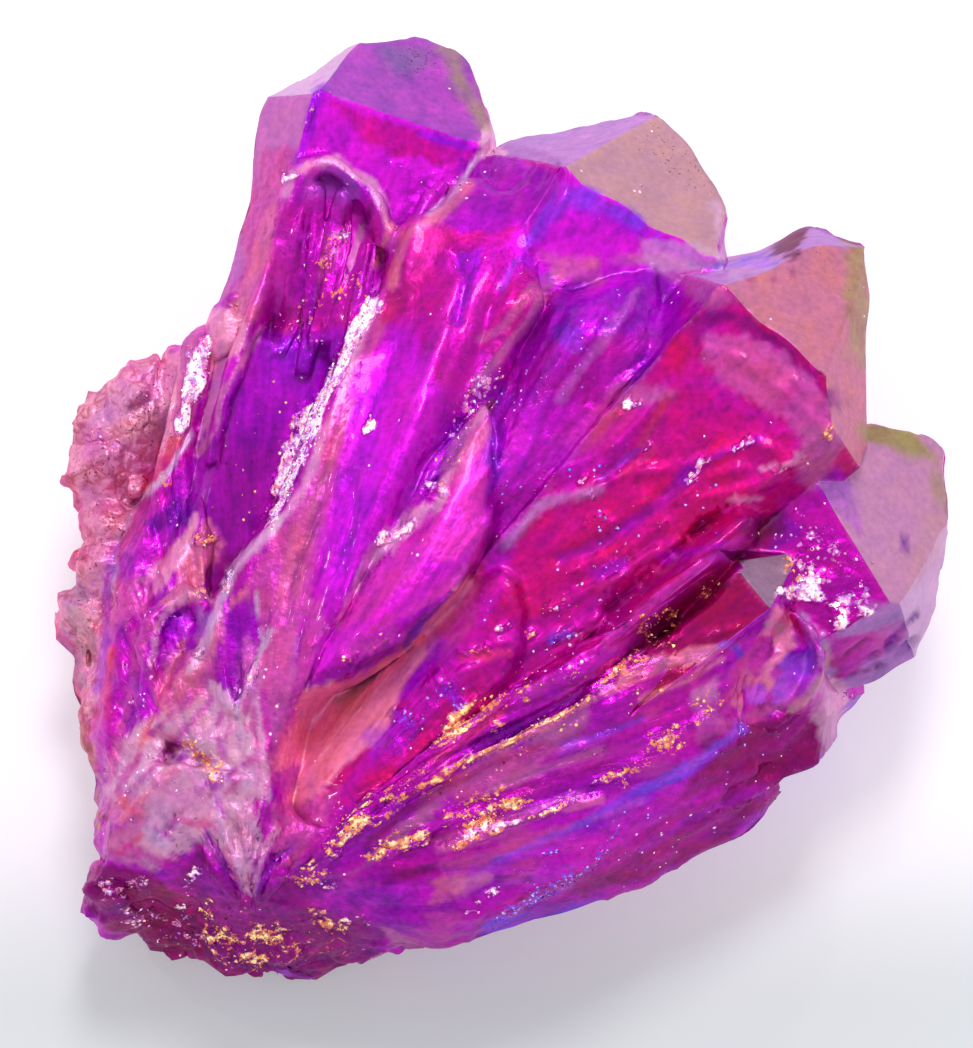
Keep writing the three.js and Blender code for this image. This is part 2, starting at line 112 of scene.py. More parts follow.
# %% [markdown]
# ## A sheet to draw on
#
# Faces, colours and sparkles all have to be put at places on the stone. A painter would stand in front of it,
# so every place in this lesson is given on an upright sheet in front of the stone: to the right and upward
# from the middle of the view. A place on the sheet is carried straight back onto the stone.

# %% The sheet
ACROSS = Vector((1, 0, 0))
UPWARD = towards_camera.cross(ACROSS)
TOWARDS = np.array(towards_camera)
FACES_AWAY = -0.05
FACES_CAMERA = 0.12


def between(low, high, amount):
    """Rises smoothly from 0 at low to 1 at high."""
    part = np.clip((amount - low) / (high - low), 0, 1)
    return part * part * (3 - 2 * part)


def on_sheet(places):
    """Where places of the stone lie on the sheet, in millimetres."""
    offset = places - np.array(LOOK_AT)
    nearness = CAMERA_DISTANCE / (CAMERA_DISTANCE - offset @ TOWARDS)
    flat = np.stack([offset @ np.array(ACROSS), offset @ np.array(UPWARD)], axis=1)
    return flat * nearness[:, None] / MM


def face_seen_at(tree, across, up):
    """The number of the face that is seen at a place on the sheet."""
    aim = LOOK_AT + (ACROSS * across + UPWARD * up) * MM
    return tree.ray_cast(camera.location, aim - camera.location)[2]


def turned_to_camera(directions):
    """1 where the surface faces the camera, 0 where it faces away."""
    return between(FACES_AWAY, FACES_CAMERA, directions @ TOWARDS)


# %% [markdown]
# ## Tables of strokes
#
# A painter's strokes are many and each is short to say, so they are written as plain rows. A row holds a few
# words or numbers, then a bar, then a path on the sheet. A place on the path is counted in half millimetres,
# which is as finely as a brush can be led. A line with no bar carries on the path above it, and a line that
# starts with # says which part of the stone the next rows are for.

# %% Reading a table
HALF_MM = 0.5


def read(word):
    """A number where the word is one, and otherwise the word itself."""
    try:
        return float(word)
    except ValueError:
        return word


def table(text):
    """The rows of a table, each with its words and numbers and then its path in millimetres."""
    rows = []
    for line in text.strip().splitlines():
        if line.startswith("#"):
            continue
        head, bar, places = line.rpartition("|")
        if bar:
            rows.append((*map(read, head.split()), []))
        for place in places.split():
            rows[-1][-1].append(tuple(float(count) * HALF_MM for count in place.split(",")))
    return rows


print("a row:", table("violet 0.5 2 | -24,60 -16,68")[0])

# %% [markdown]
# ## Flat faces and ground
#
# A crystal's faces are flat and its edges are sharp, while the ground between the points is rounded by the
# lacquer-like coat. One mesh holds both, so each must be told from the other before any carving. The copied
# mesh is made of loose triangles. They are merged, and triangles that lie in one plane are dissolved into one
# face again. The faces that matter most are then named one by one, each with the coat colour that it has at
# its root end and at its far end. Other faces count as flat where they are large, or where they lie low on
# the stone, under the fan. Everything else is ground.

# %% Colours of the coat
# red, green, blue out of 255, then milkiness: 0 for a clear metallic coat, 1 for a pale frosted one
COATS = {
    "salmon": (252, 136, 180, 0.5),
    "coral": (228, 112, 150, 0.3),
    "clay": (246, 156, 192, 0.5),
    "shell": (206, 122, 148, 0.5),
    "pink": (236, 150, 206, 0.5),
    "hotpink": (228, 48, 196, 0.05),
    "hot": (214, 12, 214, 0.0),
    "magenta": (196, 2, 172, 0.0),
    "cerise": (200, 0, 150, 0.0),
    "crimson": (198, 0, 124, 0.0),
    "fire": (226, 52, 96, 0.1),
    "wine": (160, 0, 92, 0.0),
    "maroon": (108, 0, 62, 0.0),
    "berry": (146, 0, 108, 0.0),
    "rose": (210, 72, 166, 0.2),
    "plum": (140, 0, 124, 0.0),
    "purple": (168, 0, 186, 0.0),
    "indigo": (112, 0, 158, 0.0),
    "violet": (166, 8, 218, 0.0),
    "blue": (112, 66, 246, 0.1),
    "orchid": (170, 70, 188, 0.4),
    "lilac": (184, 124, 200, 0.6),
    "mallow": (204, 140, 184, 0.65),
    "petal": (208, 112, 190, 0.5),
    "mist": (216, 170, 214, 0.8),
    "blush": (240, 176, 218, 0.6),
    "milk": (228, 158, 202, 0.6),
    "mauve": (196, 100, 166, 0.45),
    "sand": (198, 146, 158, 0.7),
    "frost": (206, 84, 168, 0.35),
    "olive": (164, 148, 84, 0.6),
    "sage": (160, 124, 154, 0.5),
    "iris": (196, 84, 240, 0.35),
    "slate": (106, 100, 148, 0.6),
    "amber": (186, 124, 60, 0.5),
}


def linear(level):
    """A colour level out of 255 as the amount of light it stands for."""
    part = level / 255
    return part / 12.92 if part <= 0.04045 else ((part + 0.055) / 1.055) ** 2.4


def srgb(red, green, blue):
    return (linear(red), linear(green), linear(blue), 1)


def coat(name):
    """A coat's linear red, green and blue with its milkiness."""
    *levels, milkiness = COATS[name]
    return np.array([*(linear(level) for level in levels), milkiness])


print("coats:", len(COATS))

# %% Name the flat faces
# name, coat at the root end, coat at the far end | one place on the face
FACETS = table("""
north_tip orchid orchid | -17,87
north_left_tip mist mist | -36,87
north_left_front petal petal | -39,81
north_front magenta hot | -13,70
north-east_left_side lilac lilac | 15,76
north-east_tip sand sand | 33,69
north-east_front hot hot | 23,58
east_left_side mist lilac | 51,49
east_tip shell shell | 67,43
east_right_tip sand shell | 73,30
east_lower_front magenta crimson | 55,5
slab_front plum purple | -43,21
east_front crimson crimson | 47,19
far_tip mallow mallow | 79,5
far_front magenta magenta | 71,-7
far_lower_front orchid lilac | 79,-24
far_right_side mist mist | 90,-7
side_left_tip berry plum | 52,-6
side_tip sage sage | 56,-13
side_front wine wine | 46,-17
""")
print("named faces:", len(FACETS))

# %% Merge and sort the faces
SQUARE_MM = MM * MM
SIDE_FACE = 40 * SQUARE_MM
LOW_FACE = 12 * SQUARE_MM
LOW_HEIGHT = 6 * MM
STEEP = 0.3
SAME_POINT = 0.002 * MM
FLAT_WITHIN = math.radians(0.6)
SHARP_FROM = math.radians(16)

stone = bmesh.new()
stone.from_mesh(cad_cluster.data)
bmesh.ops.remove_doubles(stone, verts=stone.verts, dist=SAME_POINT)
bmesh.ops.dissolve_limit(stone, angle_limit=FLAT_WITHIN, verts=stone.verts, edges=stone.edges)
stone.faces.ensure_lookup_table()
facet_of = stone.faces.layers.int.new("facet")
room_of = stone.faces.layers.float.new("room")
for number, face in enumerate(stone.faces, start=len(FACETS) + 1):
    area = face.calc_area()
    face[room_of] = area / SQUARE_MM
    underneath = face.normal.z < 0 or face.calc_center_median().z < LOW_HEIGHT
    if (underneath and area > LOW_FACE) or (face.normal.z < STEEP and area > SIDE_FACE):
        face[facet_of] = number
seen = BVHTree.FromBMesh(stone)
for number, (name, _, _, [(across, up)]) in enumerate(FACETS, start=1):
    found = face_seen_at(seen, across, up)
    if found is not None:
        stone.faces[found][facet_of] = number
        print(f"{name}: {stone.faces[found][room_of]:.0f} square mm")
for edge in stone.edges:
    beside = [face[facet_of] for face in edge.link_faces]
    edge.smooth = not (any(beside) and edge.calc_face_angle(0) > SHARP_FROM)
print("flat faces:", sum(1 for face in stone.faces if face[facet_of]), "of", len(stone.faces))

# %% [markdown]
# ## A fine mesh
#
# Carving needs points to move. Every edge longer than a limit is cut in two, again and again, and the cut
# faces are made triangles each time. Cutting by length keeps the outline exact, which a voxel remesh would
# round off. The side that rests on the table is seen less, so it is divided less.

# %% How finely to divide
FINE = 0.77 * MM
COARSE = 1.7 * MM
UNDERNEATH = 2.6 * MM
AT_EDGES = 0.6 * MM
FACES_DOWN = -0.1

clean_tips = {number for number, (name, *_) in enumerate(FACETS, start=1) if name.endswith("tip")}


def is_plain(face):
    """Whether a face is a clean flat face or hidden underneath, so that coarse triangles serve."""
    number = face[facet_of]
    return face.normal.z < FACES_DOWN or number > len(FACETS) or number in clean_tips


def too_long(edge):
    length = edge.calc_length()
    if max(face.normal.z for face in edge.link_faces) < FACES_DOWN:
        return length > UNDERNEATH
    if all(is_plain(face) for face in edge.link_faces):
        return length > (AT_EDGES if any(vert.index in sharp_points for vert in edge.verts) else COARSE)
    return length > FINE


print("clean tips:", len(clean_tips))

# %% Divide
def make_triangles(mesh):
    bmesh.ops.triangulate(mesh, faces=[face for face in mesh.faces if len(face.verts) > 3])


make_triangles(stone)
while True:
    stone.verts.index_update()
    sharp_points = {vert.index for edge in stone.edges if not edge.smooth for vert in edge.verts}
    long_edges = [edge for edge in stone.edges if too_long(edge)]
    if not long_edges:
        break
    bmesh.ops.subdivide_edges(stone, edges=long_edges, cuts=1, use_grid_fill=True, use_single_edge=True)
    make_triangles(stone)
    stone.normal_update()
print("fine mesh:", len(stone.verts), "points,", len(stone.faces), "triangles")

# %% [markdown]
# ## Wear
#
# The coat flows a little when it is baked on, so no inner corner of the ground is sharp. Moving each point of
# the ground towards the middle of its neighbours a few times rounds it. Where the ground's own faces are wide
# it is rounded much more, and small features such as knobs and thin ridges keep their form. The sharp edges
# of the flat faces stay where they are.

# %% Round the ground
ROUNDING = 3
WIDE_ROUNDING = 14
WIDE_GROUND = 5
HALFWAY = 0.5


def smooth(some_points, passes):
    for _ in range(passes):
        bmesh.ops.smooth_vert(
            stone, verts=some_points, factor=HALFWAY, use_axis_x=True, use_axis_y=True, use_axis_z=True
        )


ground = [vert for vert in stone.verts if not any(face[facet_of] for face in vert.link_faces)]
wide = [vert for vert in ground if all(face[room_of] > WIDE_GROUND for face in vert.link_faces)]
edge_numbers = sorted({vert.index for edge in stone.edges if not edge.smooth for vert in edge.verts})
smooth(wide, WIDE_ROUNDING)
smooth(ground, ROUNDING)
for edge in stone.edges:
    edge.smooth = True
print("rounded points:", len(ground), "of them wide:", len(wide), "on sharp edges:", len(edge_numbers))

# %% To a mesh
cluster_mesh = bpy.data.meshes.new("cluster")
stone.to_mesh(cluster_mesh)
stone.free()
cluster = show("cluster", cluster_mesh)


def values(collection, field, width=1, kind=float):
    """One field of all points, corners or faces, as an array."""
    out = np.empty(len(collection) * width, dtype=kind)
    collection.foreach_get(field, out)
    return out.reshape(-1, width) if width > 1 else out


points = values(cluster_mesh.vertices, "co", 3)
normals = values(cluster_mesh.vertex_normals, "vector", 3)
corner_point = values(cluster_mesh.loops, "vertex_index", kind=int)
corner_face = np.repeat(np.arange(len(cluster_mesh.polygons)), 3)
face_facet = values(cluster_mesh.attributes["facet"].data, "value", kind=int)
corner_facet = face_facet[corner_face]
corners_at = np.bincount(corner_point)
ground_share = 1 - np.bincount(corner_point, weights=corner_facet > 0) / corners_at
on_edge = np.zeros(len(points))
on_edge[edge_numbers] = 1
print("points on ground:", round(float(ground_share.mean()), 2))


def reshape(new_points):
    """Moves the points of the mesh, but never out of the box. Returns them and their normals."""
    new_points = np.clip(new_points, low_corner, high_corner)
    cluster_mesh.vertices.foreach_set("co", new_points.ravel())
    cluster_mesh.update()
    return new_points, values(cluster_mesh.vertex_normals, "vector", 3)


# %% [markdown]
# ## Pushes
#
# Blunt tips and a worn rim are quicker to push than to build. A push moves everything near one place of the
# sheet a little way, and less the farther off it lies, as a thumb moves soft clay.

# %% Push the outline
# how far right and up in mm, how far the push reaches in mm | its place
PUSHES = table("""
-0.3 -1 3 | 21,69
-0.3 -1 3.4 | 34,62
-0.2 -0.7 1.8 | 44,57
-0.3 -0.6 3 | 53,40
-0.3 -0.6 3 | 65,30
1.2 1.4 3 | -7,91
-0.3 0.6 2.5 | -28,95
0 0.6 5 | 15,79
1 0.7 3.2 | 41,75
0.5 0 2 | 47,62
0 2.3 3.4 | 64,57
0.5 0 2.5 | 76,45
1.3 1.1 3 | 87,17
0.6 0 2.5 | 89,-18
0.5 -0.5 2.2 | 78,-33
1.3 -1.6 4.6 | 51,-60
0 -0.9 3 | -9,-83
-0.4 1 3 | 5,77
1 0.4 2.4 | 45,67
0.2 1.4 4 | -61,-87
0.8 -1.2 2.4 | -80,25
0.5 -0.6 2.5 | 64,-49
0 -0.6 4 | 33,-73
0 -0.3 3 | 17,-78
0.9 -1.6 3.8 | -76,31
0.9 0 4 | -49,65
0.6 0 3 | -51,52
2.2 0 2.6 | -86,-26
-1.2 0.2 1.6 | -85,-13
1.3 0 3.4 | -79,-54
0.6 1.6 4.2 | -69,-85
0.8 0.6 2.2 | -79,-79
0.5 0 1.6 | -83,5
0 0.6 2 | -32,-89
-0.8 0.4 1.5 | 72,-40
-0.5 0 1.8 | 92,-2
""")

view = on_sheet(points)
for right, up, reach, spot in PUSHES:
    near = np.exp(-((view - np.array(spot)) ** 2).sum(axis=1) / reach**2)
    points = points + near[:, None] * np.array((right, up, 0)) * MM
points, normals = reshape(points)
print("pushes:", len(PUSHES))

# %% [markdown]
# ## Relief
#
# Everything on this stone grew outward from the root, so its small forms run outward too: flutes and ribs
# that open like a fan. Noise that is stretched along those lines gives them. For that each point gets flow
# coordinates: how far round the root it lies, how far out, and how high. Lumps, fine grain, and the low steps
# that a growing crystal leaves on its faces are added, each with its own size in millimetres. Each field of
# noise also has its own seed, a step aside in space, so that no two fields share a pattern.

# %% Flow coordinates
ROOT = np.array((-25.0, -43.2))
FLOW_RADIUS = 45
ROUGHENING = 0.8
NEXT_OCTAVE = 2.1

plan = points[:, :2] / MM - ROOT
out_from_root = np.hypot(plan[:, 0], plan[:, 1])
round_root = np.arctan2(plan[:, 0], plan[:, 1]) * FLOW_RADIUS
flow = np.stack([round_root, out_from_root, points[:, 2] / MM], axis=1)
place_mm = points / MM


def noise_field(places, size, octaves=1, seed=0):
    """Noise between about -1 and 1 at each place, with features of the given size or three sizes."""
    scaled = ((places + seed) / np.array(size)).tolist()
    if octaves == 1:
        return np.array([noise.noise(place) for place in scaled])
    return np.array([noise.fractal(place, ROUGHENING, NEXT_OCTAVE, octaves) for place in scaled])


print("out from the root:", round(float(out_from_root.max())), "mm at most")

# %% [markdown]
# ## Brushes
#
# Some of the ground is calm and some is rough, and later the coat's colours change from patch to patch. Both
# are brushed on: an area is an outline on the sheet, a line is a path on it. Noise makes their edges wander,
# and a brush that runs dry covers unevenly.

# %% How a brush wanders and runs dry
WANDER = 0.7
LINE_WANDER = 0.3
COVERS_LEAST = 0.62
# sizes in mm: round the root, outward, upward
WANDER_SIZE = (1.1, 6, 3)
DRY_SIZE = (1.4, 7, 4)

sheet = on_sheet(points)
facing = turned_to_camera(normals)
wander = noise_field(flow, WANDER_SIZE, 3, 57) + 0.4 * noise_field(place_mm, 2.2, seed=57)
dry = COVERS_LEAST + (1 - COVERS_LEAST) * between(-0.9, 0.1, noise_field(flow, DRY_SIZE, 2, 77))
print("points that face the camera:", int((facing > 0.5).sum()))

# %% Near a path, inside an outline
def gap_to(path, spots, closed=False):
    """How far spots on the sheet lie from a path."""
    corners = np.array(path, dtype=float)
    ends = np.roll(corners, -1, axis=0)
    if not closed:
        corners, ends = corners[:-1], ends[:-1]
    nearest = np.full(len(spots), np.inf)
    for start, end in zip(corners, ends):
        along = end - start
        part = np.clip((spots - start) @ along / max(along @ along, 1e-9), 0, 1)
        nearest = np.minimum(nearest, np.hypot(*(spots - start - part[:, None] * along).T))
    return nearest


def inside_by(outline, spots):
    """How far inside an outline spots on the sheet lie. It is below 0 outside."""
    corners = np.array(outline, dtype=float)
    crossings = np.zeros(len(spots), dtype=int)
    for (x0, y0), (x1, y1) in zip(corners, np.roll(corners, -1, axis=0)):
        if y0 != y1:
            spans = (spots[:, 1] < y0) != (spots[:, 1] < y1)
            crossings += spans & (spots[:, 0] < x0 + (spots[:, 1] - y0) * (x1 - x0) / (y1 - y0))
    gap = gap_to(outline, spots, closed=True)
    return np.where(crossings % 2 == 1, gap, -gap)


# %% Brushes
def brush(path, half_width, soft, closed=False, roughness=WANDER):
    """The points that a stroke reaches, and how strongly it covers each of them."""
    reach = half_width + soft + roughness
    low = np.min(path, axis=0) - reach
    high = np.max(path, axis=0) + reach
    near = np.flatnonzero(((sheet > low) & (sheet < high)).all(axis=1) & (facing > 0))
    gap = -inside_by(path, sheet[near]) if closed else gap_to(path, sheet[near])
    gap = gap + wander[near] * roughness
    return near, between(half_width + soft / 2, half_width - soft / 2, gap) * facing[near] * dry[near]


def brushed(rows):
    """How strongly the areas in rows cover each point."""
    covered = np.zeros(len(points))
    for strength, soft, outline in rows:
        near, weight = brush(outline, 0, soft, closed=True)
        covered[near] = np.maximum(covered[near], weight * strength)
    return covered


# %% [markdown]
# ## Folds and creases
#
# The plain solid leaves some folds too deep and some hollows with hard creases. A fold is levelled by fitting
# one smooth curved surface to the ground on one side of its outline, and carrying the points inside to it. A
# crease is settled: each point moves towards the middle of its neighbours again and again.

# %% Level the deep folds
DEEPEST = 16
FOLLOWED = 6
FOLD_EDGE = 1.1

# how much, which side of the outline to follow: 1 for inside, -1 for outside | outline
LEVELS = table("""
0.95 1 | -44,62 -37,65 -28,64 -22,58 -18,47 -16,39 -23,36 -27,34 -37,35 -45,37 -45,47
0.9 1 | 45,-25 50,-23 56,-25 57,-35 55,-44 48,-45 44,-38
0.97 -1 | -33,-34 -28,-32 -23,-29 -18,-26 -13,-22 -8,-17 -5,-14 -1,-10 3,-8 7,-11 9,-18 7,-29 3,-36 -3,-41
 -9,-45 -15,-50 -21,-56 -26,-62 -29,-65 -34,-63 -38,-60 -42,-55 -41,-49 -39,-43 -38,-38 -36,-35
0.85 1 | -3,75 7,77 16,74 17,65 13,57 3,49 -3,55 -5,63
0.95 1 | 23,-16 31,-10 35,-7 42,1 50,5 55,2 55,-4 51,-8 46,-15 38,-22 31,-26 25,-30 20,-26
""")

deepest_fill = 0
for strength, side, outline in LEVELS:
    depth = (points - np.array(LOOK_AT)) @ TOWARDS / MM
    inside = inside_by(outline, sheet)
    followed = np.flatnonzero((inside * side > 0) & (np.abs(inside) < FOLLOWED) & (facing > 0.5))
    curved = np.column_stack([np.ones(len(points)), sheet, sheet**2, sheet[:, 0] * sheet[:, 1]])
    weights = np.exp(-np.abs(inside[followed]))[:, None]
    shape = np.linalg.lstsq(curved[followed] * weights, depth[followed] * weights[:, 0], rcond=None)[0]
    lift = curved @ shape - depth
    lift *= between(0, FOLD_EDGE, inside) * between(DEEPEST, 0.6 * DEEPEST, np.abs(lift)) * strength
    deepest_fill = max(deepest_fill, np.abs(lift).max())
    points = points + lift[:, None] * TOWARDS * MM
points, normals = reshape(points)
facing = turned_to_camera(normals)
print("levelled:", len(LEVELS), "moved at most", round(float(deepest_fill), 1), "mm")

# %% Where the creases are
UPPER_SIDE = 12 * MM

# how much, width of the soft edge | outline
SOFTEN = table("""
0.3 1 | -45,63 -17,63 -16,37 -27,33 -46,34 -46,45
0.4 1 | 46,-22 57,-22 58,-45 45,-45
0.9 1 | -45,-36 -37,-34 -28,-35 -9,-23 3,-10 11,-13 9,-31 -9,-48 -27,-70 -45,-65
0.9 0.8 | -42,65 -41,74 -35,78 -27,77 -20,72 -15,58 -17,52 -21,55 -25,64 -29,68 -35,68 -38,64
1 1 | 21,-23 23,-14 35,-4 50,4 56,1 55,-6 51,-11 43,-18 33,-26 23,-33
0.25 1 | 15,45 35,52 41,37 23,11 7,-3 -3,-15 -3,1
0.25 1 | 43,-15 55,-15 63,-25 61,-39 43,-35
0.5 1 | -4,73 16,72 15,58 7,45 -3,45 -9,59
0.25 1 | -29,19 -17,39 -3,45 -1,25 -17,1 -31,-15
""")

creased = np.zeros(len(points))
for strength, soft, outline in SOFTEN:
    creased = np.maximum(creased, between(-soft / 2, soft / 2, inside_by(outline, sheet)) * strength)
on_named = np.bincount(corner_point, weights=(corner_facet > 0) & (corner_facet <= len(FACETS))) > 0
creased *= (points[:, 2] > UPPER_SIDE) & ~on_named
print("creased points:", int((creased > 0.1).sum()))

# %% Settle the creases
SETTLING = 60

edge_ends = values(cluster_mesh.edges, "vertices", 2, int)
neighbours = np.bincount(edge_ends.ravel(), minlength=len(points))
for _ in range(SETTLING):
    middle = np.zeros(points.shape)
    for axis in range(3):
        for one, other in ((0, 1), (1, 0)):
            pulls = points[edge_ends[:, other], axis]
            middle[:, axis] += np.bincount(edge_ends[:, one], weights=pulls, minlength=len(points))
    middle /= neighbours[:, None]
    points = points + (middle - points) * HALFWAY * creased[:, None]
points, normals = reshape(points)
sheet = on_sheet(points)
place_mm = points / MM
print("settled in", SETTLING, "passes")

# %% Where the ground is calm
# how calm, width of the soft edge | outline
CALM = table("""
0.8 1 | -17,57 -3,70 15,67 9,55 3,37 -3,29 -13,17 -17,1 -29,-17 -35,-27 -37,-7 -29,19 -23,39
0.9 0.8 | -45,38 -28,38 -37,15 -45,0 -56,-12 -56,11 -49,30
0.8 0.8 | 0,24 -9,5 -28,-15 -36,-33 -16,-26 0,-6 2,15
0.8 1 | -38,-36 -23,-30 -9,-20 -11,-31 -30,-52 -37,-61 -41,-55
0.7 1 | -45,-26 -37,-18 -39,-39 -45,-47 -48,-41
0.6 1 | -45,-47 -45,-55 -49,-67 -67,-61 -73,-47 -65,-38 -49,-38
0.7 1 | 23,-16 35,-9 50,-1 54,-3 51,-8 46,-14 31,-26 20,-26
0.6 1 | 50,-20 58,-16 63,-18 66,-22 67,-28 63,-35 56,-41 50,-38 48,-35
0.5 1 | 3,29 15,46 33,52 38,39 15,11 0,5
0.4 1 | 31,-62 63,-35 68,-46 43,-67 15,-76 -5,-81 -5,-71 15,-65
""")

calm = brushed(CALM)
print("calm share:", round(float(calm.mean()), 2))

# %% Where it is rough
# how rough in mm, width of the soft edge | outline
ROUGH = table("""
0.1 1 | 15,7 31,17 43,20 63,19 71,17 55,1 43,-15 15,-33 -13,-47 -17,-35 -1,-19
0.05 1 | 43,39 55,37 71,23 69,17 43,21 31,17
0.2 1 | 3,29 15,45 33,52 37,39 23,19 15,9 0,3
0.14 1 | -76,-53 -73,-43 -65,-37 -54,-33 -49,-38 -45,-45 -43,-55 -47,-65 -57,-63 -67,-69 -76,-67
0.25 1 | -54,37 -49,59 -46,73 -39,75 -39,67 -42,53 -47,38
0.3 0.8 | 63,-1 70,-4 77,-15 73,-23 65,-19 59,-13
0.3 1 | -76,-3 -67,-7 -57,-13 -57,-33 -67,-39 -75,-43
0.12 1 | -9,-69 23,-55 51,-43 63,-43 43,-65 15,-76 -5,-81
0.25 1 | -17,-39 23,-23 41,-25 51,-35 15,-55 -9,-65 -31,-67
0.2 1 | -21,67 -3,69 -3,55 -17,39 -21,39
""")

rough = brushed(ROUGH)
print("roughest:", round(float(rough.max()), 2), "mm")

# %% Draw ridges and grooves
DRAWN_ROUGHNESS = 0.25
DRAWN_SOFT = 1.2

# height, half width | path
RIDGES = table("""
# east point
0.5 0.5 | 23,8 28,10 35,11 41,12 47,14 53,17 58,14 63,11
0.35 0.5 | 31,3 37,5 43,9 51,11
0.3 0.5 | 43,5 51,7 59,9
-0.4 0.6 | 15,-7 23,-4 33,3 41,9
0.35 0.5 | 17,-10 25,-7 35,0
0.4 0.5 | 23,-13 31,-7 41,-3 47,-4
-0.4 0.5 | 31,-13 41,-7 47,-6
0.4 0.5 | 12,-17 21,-13 27,-11
0.35 0.5 | 7,-25 15,-22 23,-18
0.4 0.5 | -5,-26 3,-24 9,-22
0.35 0.5 | -13,-32 -8,-30 -3,-29
0.35 0.5 | 15,-31 27,-25 39,-19
-0.4 0.5 | -1,-35 15,-27 27,-20
0.3 0.5 | 43,35 51,33 61,25 69,17
-0.25 0.8 | 43,40 51,40 59,34 72,24
-0.15 0.5 | 43,51 50,52 58,52
-0.15 0.5 | 51,50 55,48 61,50
0.15 0.5 | 47,46 55,45 61,48
0.4 0.5 | 35,27 31,21 25,15
-0.4 0.5 | 37,25 33,17 23,9
# under the arch
0.3 0.3 | -37,62 -39,53 -40,41
0.3 0.3 | -34,64 -35,55 -37,41
0.3 0.3 | -30,63 -31,55 -33,45 -35,36
0.3 0.3 | -26,61 -28,53 -30,45
0.35 0.3 | -23,58 -25,49 -27,39
-0.3 0.3 | -36,62 -37,52 -38,41
-0.3 0.3 | -32,62 -33,54 -35,43
-0.3 0.3 | -28,60 -30,52 -32,41
-0.35 0.3 | -20,55 -22,47 -24,39
# petals
0.5 0.4 | 60,-16 65,-21 67,-23 67,-28 64,-33 62,-37
0.4 0.35 | 58,-17 56,-21 56,-26 54,-32 51,-36
-0.5 0.35 | 60,-17 62,-20 63,-24
-0.4 0.35 | 58,-23 56,-29 55,-33
0.35 0.3 | 59,-26 63,-25 65,-24
-0.35 0.4 | 53,-27 52,-33 50,-38
0.4 0.4 | 50,-29 48,-35 45,-39
-0.5 0.3 | 56,-36 60,-38 64,-35
0.3 0.4 | 43,-23 50,-21 54,-24
0.35 0.4 | 57,-45 61,-42 66,-35
-0.3 0.3 | 55,-49 60,-46 64,-42
-0.3 0.3 | 49,-53 55,-50 61,-47
0.3 0.3 | 43,-57 51,-55 58,-51
# violet crystal
0.4 0.6 | 30,47 25,39 19,31 15,25
0.35 0.5 | 12,25 9,17 7,11
-0.4 0.6 | 21,35 15,27 11,19
0.35 0.5 | 31,31 25,27 23,21
0.45 0.6 | 4,-4 11,4 23,7
-0.35 0.6 | 27,45 23,37 21,25
0.3 0.5 | 15,47 12,39 7,31
# spine, tongue
-0.5 0.5 | -6,54 -4,48 -6,41
0.35 0.7 | -9,39 -11,29 -15,21
-0.35 0.8 | -27,9 -28,1 -30,-9
0.35 0.5 | -35,-25 -33,-22 -28,-15
-0.35 0.6 | -23,-7 -17,-2 -11,1
0.35 0.6 | -11,65 -15,57 -19,47
-0.3 0.6 | -31,11 -37,-5 -40,-19
0.3 0.5 | -28,17 -32,5 -35,-7
0.35 0.5 | -29,-27 -23,-26 -17,-23
-0.35 0.5 | -28,-29 -22,-28 -16,-24
# mound and fan
0.5 0.7 | -67,-55 -61,-47 -54,-42
0.45 0.6 | -61,-61 -57,-53 -49,-51
-0.4 0.6 | -64,-49 -59,-44
-0.35 0.6 | -67,-63 -57,-55 -47,-55
0.45 0.6 | -73,-61 -67,-53 -65,-45
-0.4 0.6 | -57,-47 -51,-48 -49,-44
0.6 0.6 | -48,-74 -51,-67 -54,-59
0.6 0.6 | -48,-74 -48,-65 -48,-58
0.6 0.6 | -47,-74 -45,-67 -42,-61
-0.6 0.6 | -49,-73 -53,-68 -56,-63
-0.5 0.5 | -48,-71 -49,-65 -51,-60
-0.5 0.5 | -47,-72 -46,-65 -45,-60
-0.5 0.5 | -46,-73 -43,-68 -39,-65
# terraces
0.5 0.5 | 21,-35 13,-40 7,-43 -1,-46 -9,-50
-0.5 0.5 | 19,-33 13,-38 3,-42 -9,-48
0.5 0.5 | 23,-55 15,-57 7,-59 -3,-63 -9,-65
-0.5 0.5 | 23,-53 15,-55 3,-58 -9,-63
0.4 0.5 | 3,-78 12,-73 23,-65
0.35 0.5 | 3,-72 12,-66 23,-61
0.5 0.5 | -23,-54 -27,-59 -31,-64 -36,-69
-0.5 0.5 | -20,-55 -24,-60 -28,-65
0.4 0.5 | 32,-53 41,-48 49,-41
0.4 0.5 | -11,-33 -3,-29 7,-25
0.4 0.6 | -19,-65 -13,-62 -7,-58
-0.4 0.6 | -17,-67 -9,-62 -1,-56
# far-east point and south-east end
-0.6 0.35 | 72,-26 76,-23
-0.6 0.3 | 76,-27 78,-26
-0.6 0.3 | 80,-25 82,-22
-0.5 0.3 | 73,-30 79,-28
-0.5 0.3 | 82,-26 86,-23
-0.5 0.3 | 83,-21 86,-18
-0.25 0.3 | 83,-2 84,-6
-0.3 0.6 | 55,-47 61,-43 67,-39
0.3 0.6 | 43,-55 53,-49 63,-41
0.3 0.5 | 31,-69 41,-61 51,-55
""")

drawn = np.zeros(len(points))
unevenness = 0.75 + 0.9 * noise_field(flow, (1.6, 3, 3), seed=11)
for height, half_width, path in RIDGES:
    near, weight = brush(path, half_width, DRAWN_SOFT * half_width, roughness=DRAWN_ROUGHNESS)
    drawn[near] += weight * height * unevenness[near]
print("drawn:", len(RIDGES), "from", round(float(drawn.min()), 2), "to", round(float(drawn.max()), 2), "mm")

# %% Forms of the ground
# heights in mm
FLUTE = 0.3
RIB = 0.09
LUMP = 0.22
GRAIN = 0.05
GROUND_STEP = 0.12 / 3
CALMED = 0.85
STEPS = 5
